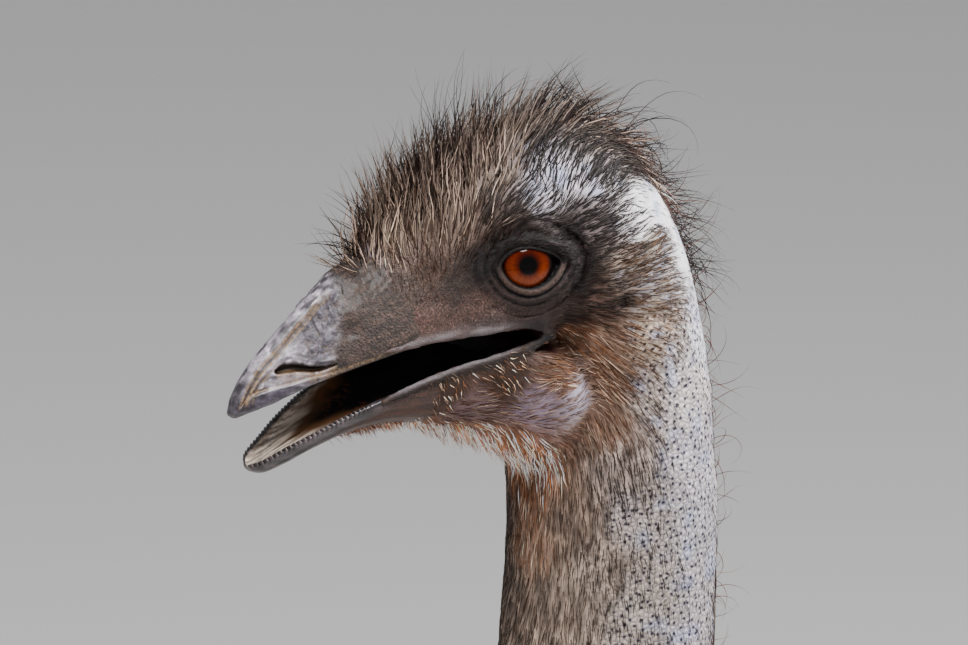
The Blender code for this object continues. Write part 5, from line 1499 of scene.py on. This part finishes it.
def grow_shafts(roots, out, lie, lift, length, rng, steps=4, clearance=0.6, stick=0.5, droop=0.0, wave=0.1,
                sink=0.4):
    """Paths of shafts: they leave the skin by the lift, follow the lie, and stay clear of the skin.

    Stick draws a shaft back down where the skin falls away, droop bends it towards the ground,
    and wave makes it wander. Each may be one number or a number for each shaft."""
    length, clearance, stick, droop, wave = (np.broadcast_to(np.asarray(v, float), len(roots))[:, None]
                                             for v in (length, clearance, stick, droop, wave))
    tangent = lie - out * (lie * out).sum(axis=1, keepdims=True)
    way = unit(tangent * np.cos(lift)[:, None] + out * np.sin(lift)[:, None])
    across = unit(np.cross(way, out) + 1e-6)
    phase, pitch = rng.uniform(0, 6.3, (2, len(roots), 1))
    place = roots - out * sink
    path = [place]
    for k in range(steps):
        turn = way + wave * (across * np.sin(phase + (1.1 + 0.35 * pitch) * k)
                             + np.cross(across, way) * np.cos(phase + 1.3 * k) * 0.6)
        way = unit(turn - np.array((0, 0, 1.0)) * droop)
        reached = place + way * length / steps
        near, normal = nearest_skin(reached)
        gap = ((reached - near) * normal).sum(axis=1, keepdims=True)
        wanted = clearance * (k + 1) / steps
        lifted = np.where(gap < wanted, wanted - gap, (wanted - gap) * stick * (gap < 4 * clearance + 6))
        reached = reached + normal * lifted
        way = unit(unit(reached - place) + way * 0.35)
        place = place + unit(reached - place) * length / steps
        path.append(place)
    return np.stack(path, axis=1)


def clumped(paths, every, pull, reach):
    """Paths whose tips are drawn towards a neighbour's, as damp feathers gather."""
    leaders = np.arange(0, len(paths), every)
    tree = KDTree(len(leaders))
    for row, index in enumerate(leaders):
        tree.insert(paths[index, 0], row)
    tree.balance()
    found = [tree.find(Vector(path[0])) for path in paths]
    leader = leaders[[f[1] for f in found]]
    close = ramp(np.array([f[2] for f in found]), reach, reach * 0.4)[:, None, None]
    share = np.linspace(0, 1, paths.shape[1])[None, :, None] ** 1.3 * pull * close
    return paths + (paths[leader] - paths) * share


PATCH = 0.003  # how wide a shaft's patch is on the coat's map
MOST_TRIANGLES = 190000  # of one piece of the coat


def coat_piece(name, paths, wide, shades, map_places, thick=0.6, tip=0.12, swell=0.4):
    """Makes tapered three-sided shafts along paths, in pieces of a size the export takes.

    Wide is each shaft's half width, shades its colours from root to tip, and map_places where
    its root lies on the unwrapped skin."""
    count, steps = paths.shape[:2]
    along = unit(np.gradient(paths, axis=1))
    across = unit(np.cross(along, unit(paths - paths[:, :1] + np.array((0.3, 0.1, 0.2)))))
    up = np.cross(across, along)
    share = np.linspace(0, 1, steps)
    profile = (1 - swell + swell * np.sin(np.pi * np.minimum(share + 0.25, 1))) * ramp(share, 1.12, 0.45)
    profile = np.maximum(profile, tip)[None, :-1, None, None]
    profile = profile * np.broadcast_to(wide, count)[:, None, None, None]
    angle = np.array((math.pi / 2, math.pi * 7 / 6, math.pi * 11 / 6))
    ring = across[:, :-1, None] * np.cos(angle)[:, None] + up[:, :-1, None] * np.sin(angle)[:, None] * thick
    rings = paths[:, :-1, None] + ring * profile
    points = np.concatenate((rings.reshape(count, -1, 3), paths[:, -1:]), axis=1)
    size = points.shape[1]
    tip_fan = size + np.array(((-4, -3, -1), (-3, -2, -1), (-2, -4, -1)))
    one = np.concatenate((((0, 2, 1),), tube_triangles(steps - 1, 3), tip_fan))
    level = np.concatenate((np.repeat(share[:-1], 3), (1.0,)))
    column = np.concatenate((np.tile((0.0, 0.5, 1.0), steps - 1), (0.5,)))
    stops = np.linspace(0, 1, shades.shape[1])
    under = np.minimum((level * (len(stops) - 1)).astype(int), len(stops) - 2)
    part = (level * (len(stops) - 1) - under)[None, :, None]
    tint = shades[:, under] * (1 - part) + shades[:, under + 1] * part
    place = map_places[:, None] + PATCH * (np.stack((column, level), axis=-1)[None] - 0.5)
    most = MOST_TRIANGLES // len(one)
    for number, start in enumerate(range(0, count, most), 1):
        rows = slice(start, start + most)
        here = len(points[rows])
        triangles = (one[None] + size * np.arange(here)[:, None, None]).reshape(-1, 3)
        piece = mesh_piece(f"{name}_{number}", points[rows].reshape(-1, 3), triangles)
        paint(piece, "tint", tint[rows].reshape(-1, 3))
        layer = piece.data.uv_layers.new(name="OFBake")
        corners = np.zeros(len(piece.data.loops), np.int32)
        piece.data.loops.foreach_get("vertex_index", corners)
        layer.data.foreach_set("uv", place[rows].reshape(-1, 2)[corners].astype(np.float32).ravel())
        piece.data.materials.append(shaft_look)
        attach(piece, "root")
    print(name, count, "shafts", count * len(one), "triangles")


shaft_look, tree, shader = start_material("shafts", Roughness=0.5, Specular_IOR_Level=0.22)
barbs = spots(tree, 700, Detail=3.0).outputs["Fac"]
feed(shader, speckled(tree, painted(tree), barbs, ((0.3, 0.7), (0.7, 1.3)), 0.6))
print("coat helpers ready")

# %% [markdown]
# The head's coat is drawn from the map: the crown stands in soft spikes, the sides of the
# head are combed back, the throat is a fringe, and the bare skin behind the ear and down the
# back of the neck has almost none. Some shafts are pale and some nearly black.

# %% Coat of the head and upper neck
PLUME_START = 22.4


def skin_map(points):
    """Each point's place on the unwrapped skin of head, neck and trunk."""
    place, turn = place_and_turn(points)
    return np.stack((0.02 + 0.70 * turn, 0.02 + 0.96 * place / (len(BODY) - 1)), axis=-1)


LID_TOP = OPENING[OPENING[:, 1].argsort()[::-1][:7]]
LID_TOP = LID_TOP[LID_TOP[:, 0].argsort()]


def seen_from_eye(points):
    """How far points are back of, and above, the line of sight of the nearer eye."""
    from_eye = folded(points) - EYE_CENTRE
    return from_eye @ EYE_BACKWARD + 60 * (from_eye @ EYE_AXIS < 2), from_eye @ EYE_UPWARD


def clear_of_eye(points):
    back, up = seen_from_eye(points)
    return ramp(np.hypot((back + 1) / 1.12, up + 1), 11.6, 13.6)


def out_of_mouth(points):
    """0 for skin inside the mouth and on its lips, where nothing grows."""
    _, masks, within = skin_colours(points)
    return 1 - np.clip(2 * np.maximum(masks[:, 2] - 0.1, within), 0, 1)


def standing_share(points):
    return ramp(from_map(points, (LIFT,))[:, 0], 15, 27)


def head_density(points):
    place, _ = place_and_turn(points)
    wanted = from_map(points, (DENSITY,))[:, 0] * clear_of_eye(points) * out_of_mouth(points)
    return wanted * ramp(place, PLUME_START + 0.9, PLUME_START)


def lid_density(points):
    """Round the eye the coat grows on the lids, and over it down to the edge of the upper lid."""
    back, up = seen_from_eye(points)
    over = ramp(up - np.interp(back, LID_TOP[:, 0], LID_TOP[:, 1]), 0.9, 2.2) * ramp(up, -1, 2.5)
    return np.maximum(1.15 * over, 0.6 * from_map(points, (DENSITY,))[:, 0] * clear_of_eye(points))


def chin_density(points):
    """Bristles under the rear of the lower bill."""
    back, up = points[:, 1], points[:, 2]
    lowest = np.interp(back, (30, 43, 58, 73), (-16.8, -13.6, -13.4, -15.8))
    return 0.8 * ramp(up - lowest, 3.6, 1.2) * ramp(back, 33, 50) * ramp(back, 68, 62)


def shades_of(base, roots, rng, stops=(0.95, 1.0, 1.1), spread=0.5, pale=0.32, lightest=3.2):
    """Colours from root to tip for each shaft, some pale and some near black."""
    count = len(base)
    level = np.exp(np.clip(rng.normal(0, spread, count) + 0.5 * noise(roots, 1.5, 61), -1.2, 1.1))
    light = (rng.random(count) < pale)[:, None]
    tone = linear(base) * level[:, None] * np.where(light, lightest, 1.0)
    beige = tone.mean(axis=1, keepdims=True) * np.array((1.18, 0.99, 0.80))
    tone = between(tone, beige, 0.7 * light)
    return np.minimum(tone[:, None] * np.array(stops)[None, :, None], 0.8)


def comb_coat(name, surface, density_of, seed, steps, longer=1.0, thicker=1.0, every=5, pull=0.5,
              reach=2.6, **tones):
    """One group of the head's shafts, combed by the map and gathered into locks."""
    roots, out, rng = scatter(surface, density_of, seed)
    found = from_map(roots, (LIE, LIFT, LENGTH, *HAIR_SHADE))
    angle = np.radians(found[:, 0] + rng.normal(0, 9, len(roots)))
    lift = np.radians(np.maximum(found[:, 1] * rng.uniform(0.7, 1.3, len(roots)), 3))
    length = longer * found[:, 2] * rng.uniform(0.6, 1.2, len(roots))
    lie = np.stack((rng.normal(0, 0.09, len(roots)), np.cos(angle), np.sin(angle)), axis=-1)
    standing = ramp(np.degrees(lift), 14, 34)
    paths = grow_shafts(roots, out, lie, lift, length, rng, steps=steps, clearance=0.25 + 0.05 * length,
                        stick=0.75 * (1 - standing), droop=0.05 * standing, wave=0.07 + 0.16 * standing)
    paths = clumped(paths, every, pull, reach)
    wide = 0.05 + 0.018 * np.minimum(length, 4) + 0.004 * length + 0.03 * rng.random(len(roots))
    wide = thicker * wide
    coat_piece(name, paths, wide, shades_of(found[:, 3:6], roots, rng, **tones), skin_map(roots))


comb_coat("coat_head", head_surface, lambda p: 0.60 * head_density(p) * (1 - standing_share(p)), 101, 4)
comb_coat("coat_crest", head_surface, lambda p: 0.34 * head_density(p) * standing_share(p), 102, 5,
          thicker=1.15, every=8, pull=0.66, reach=5.5, stops=(2.4, 1.7, 0.6), spread=0.6, pale=0.6,
          lightest=9.5)
comb_coat("coat_lids", lids_surface, lid_density, 103, 4, longer=0.75, pale=0.35)
comb_coat("coat_chin", bill_surface, chin_density, 104, 4)

# %% [markdown]
# Loose wisps stray from the coat: a few tall tufts on the crown, a soft mane where the crest
# falls over the nape, and fine reddish curls down the back of the neck. Each hair turns
# steadily as it grows, so it ends in an arc or a loop.

# %% Wisps of the crown and nape
TUFTS = (  # back and up of the root | start angle, length, turn, strands
    (54, 46, 140, 26, -60, 10), (60, 50, 118, 32, -30, 10), (72, 57, 104, 34, 30, 7), (84, 63, 98, 33, 25, 7),
    (91, 67, 99, 42, 20, 24), (97, 69, 92, 33, 45, 6), (112, 75, 80, 34, 75, 8), (132, 78, 70, 32, 110, 8),
    (150, 74, 112, 32, -45, 14), (160, 69, 55, 46, 130, 9), (166, 63, 20, 40, 170, 8),
)


def stray(name, roots, out, angle, turn, length, shade, rng, wide=0.15, steps=10):
    """Free hairs that set off at an angle, from 0 to the back to 90 upwards, and turn as they grow."""
    count = len(roots)
    drift, sway, phase = rng.normal(0, 0.22, count), rng.uniform(0.1, 0.6, count), rng.uniform(0, 6.3, count)
    path = [roots - 0.4 * out]
    for k in range(steps):
        now = np.radians(angle - turn * (k / steps) ** 1.2)
        way = np.stack((drift + sway * np.sin(phase + 0.5 * k), np.cos(now), np.sin(now)), axis=-1)
        path.append(path[-1] + unit(way + 0.5 * out * (k < 2)) * length[:, None] / steps)
    tones = shades_of(np.broadcast_to(np.array(shade, float), (count, 3)), roots, rng, spread=0.3, pale=0.15)
    coat_piece(name, np.stack(path, axis=1), wide, tones, skin_map(roots), thick=1.0, tip=0.25)


def midline(points, half):
    """1 near the bird's middle line, along its upper and rear side."""
    _, turn = place_and_turn(points)
    return ramp(np.abs(points[:, 0]), half, half * 0.6) * (np.abs(turn - 0.75) < 0.25)


rng = np.random.default_rng(110)
tuft = np.repeat(np.array(TUFTS, float), [row[5] for row in TUFTS], axis=0)
spread = rng.normal(0, 1, (3, len(tuft)))
roots, out = nearest_skin(np.stack((3.5 * spread[0], tuft[:, 0] + 2.2 * spread[1], tuft[:, 1]), axis=-1))
stray("coat_tufts", roots, out, tuft[:, 2] + 9 * spread[2], tuft[:, 4] * rng.uniform(0.5, 1.5, len(tuft)),
      tuft[:, 3] * rng.uniform(0.6, 1.1, len(tuft)), (46, 31, 25), rng, wide=0.19)
for name, density_of, seed, angles, turns, lengths, shade in (
        ("coat_mane", lambda p: 0.24 * midline(p, 15) * ramp(p[:, 1], 142, 152) * ramp(p[:, 2], 6, 24),
         111, (-75, 20), (-60, 110), (14, 30), (52, 32, 25)),
        ("coat_curls", lambda p: 0.055 * midline(p, 13) * ramp(p[:, 1], 150, 165) * ramp(p[:, 2], -150, -130),
         112, (-60, 50), (-280, 280), (10, 26), (104, 58, 38))):
    roots, out, rng = scatter(head_surface, density_of, seed)
    angle, turn, length = (rng.uniform(*span, len(roots)) for span in (angles, turns, lengths))
    stray(name, roots, out, angle, turn, length, shade, rng)

# %% [markdown]
# The body's plumage is long and lax. Along the ridge of the back it lies straight back, and
# beside the ridge it turns outwards and hangs down the flanks. Each feather is a tuft of a few
# shafts from one root, grey-brown at the root and darker to the tip. They grow longer from the
# neck to the flanks, and shorter down the drumsticks.

# %% Plumage of the neck, trunk and drumsticks
PLUME_COLUMNS = "place", "feathers a square cm", "shafts", "length", "clearance", "half width", "back share"
PLUMES = np.array([
    (22.4, 30, 1, 20, 2, 0.20, 0.05), (23, 17, 1, 28, 4, 0.26, 0.06), (24, 8, 2, 52, 7, 0.38, 0.08),
    (25, 4, 2, 82, 11, 0.6, 0.14), (26.5, 1.25, 4, 118, 17, 0.95, 0.22), (28, 0.45, 5, 165, 23, 1.25, 0.32),
    (29.5, 0.24, 6, 215, 27, 1.5, 0.42), (34, 0.22, 6, 215, 27, 1.55, 0.48),
    (35.5, 0.28, 6, 180, 25, 1.5, 0.55), (37, 0.4, 6, 150, 20, 1.4, 0.6)])
WIDEST, FARTHEST_BACK = 246.0, 1050.0  # beyond these the feathers turn down, as on the solid model


def plume(place, column):
    return np.interp(place, PLUMES[:, 0], PLUMES[:, PLUME_COLUMNS.index(column)])


def thigh_share(points):
    """How far down the drumstick a point is, and whether it is on it."""
    share = (points[:, 2] - THIGH_TOP[2]) / (leg_joints(1)[1] - THIGH_TOP)[2]
    return share, ramp(points[:, 2], -872, -890) * (share > 0.2)


def plume_density(points):
    place, _ = place_and_turn(points)
    share, on_thigh = thigh_share(points)
    body = plume(place, "feathers a square cm") / 100 * ramp(place, PLUME_START, PLUME_START + 0.7)
    thigh = np.interp(share, (0.2, 0.5, 0.8, 0.93, 0.97), (0.7, 1.1, 3, 9, 0)) / 100
    return between(body, thigh, on_thigh)


def feathers(surface, seed):
    """All the shafts of the feathers on a surface: their paths, half widths and roots, and the
    place of each root along the body and whether it is on a drumstick."""
    roots, out, rng = scatter(surface, plume_density, seed)
    place, _ = place_and_turn(roots)
    share, on_thigh = thigh_share(roots)
    shafts = np.where(on_thigh > 0.5, np.interp(share, (0.3, 0.6, 0.9), (4, 3, 1)), plume(place, "shafts"))
    again = np.repeat(np.arange(len(roots)), np.maximum(shafts.astype(int), 1))
    roots, out, place, share, on_thigh = (v[again] for v in (roots, out, place, share, on_thigh))
    count = len(again)
    length = between(plume(place, "length"), np.interp(share, (0.3, 0.7, 0.95), (120, 80, 26)), on_thigh)
    own = np.exp(rng.normal(0, 0.16, len(roots)))
    feather = np.random.default_rng(seed + 1).normal(0, 1, (again.max() + 1, 3))[again]
    length = length * np.exp(0.14 * feather[:, 0]) * np.minimum(own, 1.15)
    side = np.where(roots[:, 0] < 0, -1.0, 1.0)
    back = between(plume(place, "back share"), 0.22, on_thigh)
    ridge = hill(roots[:, 0], 45) * (1 - on_thigh) * ramp(place, 24.5, 27)
    outward = 0.16 * side * (1 - ridge) + 0.06 * feather[:, 1] * (1 + 2 * ridge)
    lie = unit(np.stack((outward, back + ridge + 0.10 * feather[:, 2], -np.ones(count)), axis=-1))
    lie = unit(lie - out * (lie * out).sum(axis=1, keepdims=True)) + rng.normal(0, 0.045, (count, 3))
    lift = np.radians(np.interp(place, (22, 26, 30), (9, 13, 17))) * rng.uniform(0.6, 1.4, count)
    clearance = between(plume(place, "clearance"), np.interp(share, (0.3, 0.95), (12, 4)), on_thigh)
    clearance = clearance * rng.uniform(0.35, 1.0, count)
    apart = rng.normal(0, 1, (count, 3)) * plume(place, "half width")[:, None]
    paths = grow_shafts(roots + apart, out, unit(lie), lift, length, rng, steps=5, clearance=clearance,
                        stick=0.3, droop=0.12, wave=0.05, sink=2.0)
    half = between(plume(place, "half width"), np.interp(share, (0.3, 0.95), (0.9, 0.3)), on_thigh)
    for axis, side, limit in ((0, 1, WIDEST), (0, -1, WIDEST), (1, 1, FARTHEST_BACK)):
        over = np.maximum(side * paths[..., axis] - limit, 0)
        paths[..., axis] -= side * (over - 20 * (1 - np.exp(-over / 20)))
    return paths, half * rng.uniform(0.7, 1.15, count), roots, place, on_thigh, rng


paths, wide, roots, place, on_thigh, rng = feathers(merged((head_surface, trunk_surface)), 201)
base = mix((66, 55, 49), (104, 88, 76), ramp(place, 23, 29) * rng.random(len(place)))
base = mix(base, (84, 68, 58), on_thigh * 0.6)
shades = shades_of(base, roots, rng, (1.5, 1.15, 0.8, 0.5), 0.25, 0.16, 2.6)
coat_piece("coat_body", paths, wide, shades, skin_map(roots), thick=0.45, swell=0.5)

# %% [markdown]
# The camera looks at the head and upper neck from the bird's left and front. The floor and
# the three soft lights are only for the picture, and are no part of the model.

# %% Stage
CAMERA_BACK, CAMERA_RIGHT = unit(np.array(((0.7575, -0.5918, 0.2756), (0.6157, 0.788, 0.0))))
CAMERA_UP = np.cross(CAMERA_BACK, CAMERA_RIGHT)
PHOTO_WIDTH, CAMERA_DISTANCE, SENSOR = 0.3194, 2.35, 36.0
camera = bpy.data.objects.new("camera", bpy.data.cameras.new("camera"))
bpy.context.scene.collection.objects.link(camera)
camera.data.sensor_width = SENSOR
camera.data.lens = SENSOR * CAMERA_DISTANCE / PHOTO_WIDTH
camera.data.clip_end = 200
aim = TIP + CAMERA_RIGHT * 0.0845 + CAMERA_UP * 0.0302
camera.location = aim + CAMERA_BACK * CAMERA_DISTANCE
camera.rotation_euler = Vector(-CAMERA_BACK).to_track_quat("-Z", "Y").to_euler()
bpy.context.scene.camera = camera

bpy.ops.mesh.primitive_plane_add(size=80)
floor = bpy.context.object
floor.name = "floor"
floor_look, tree, shader = start_material("floor", Roughness=0.9)
shader.inputs["Base Color"].default_value = (0.78, 0.76, 0.73, 1)
floor.data.materials.append(floor_look)


def area_light(name, place, towards, size, power):
    lamp = bpy.data.lights.new(name, "AREA")
    lamp.shape, lamp.size, lamp.energy = "DISK", size, power
    made = bpy.data.objects.new(name, lamp)
    made.location = place
    made.rotation_euler = (Vector(towards) - Vector(place)).to_track_quat("-Z", "Y").to_euler()
    bpy.context.scene.collection.objects.link(made)
    return made


head_at = tuple(TIP + np.array((0, 0.12, 0)))
area_light("key", (1.3, -1.3, 4.4), head_at, 1.8, 225)
area_light("back", (0.9, 2.4, 3.3), head_at, 1.5, 230)
area_light("fill", (3.8, -1.4, 2.2), head_at, 3.0, 40).visible_glossy = False
world_look = bpy.data.worlds.new("room")
bpy.context.scene.world = world_look
world_look.use_nodes = True
background = world_look.node_tree.nodes["Background"].inputs
background["Color"].default_value = (0.9, 0.92, 1.0, 1)
background["Strength"].default_value = 0.40
print("camera", CAMERA_DISTANCE, "m from the head, with", len(bpy.data.lights), "lights")
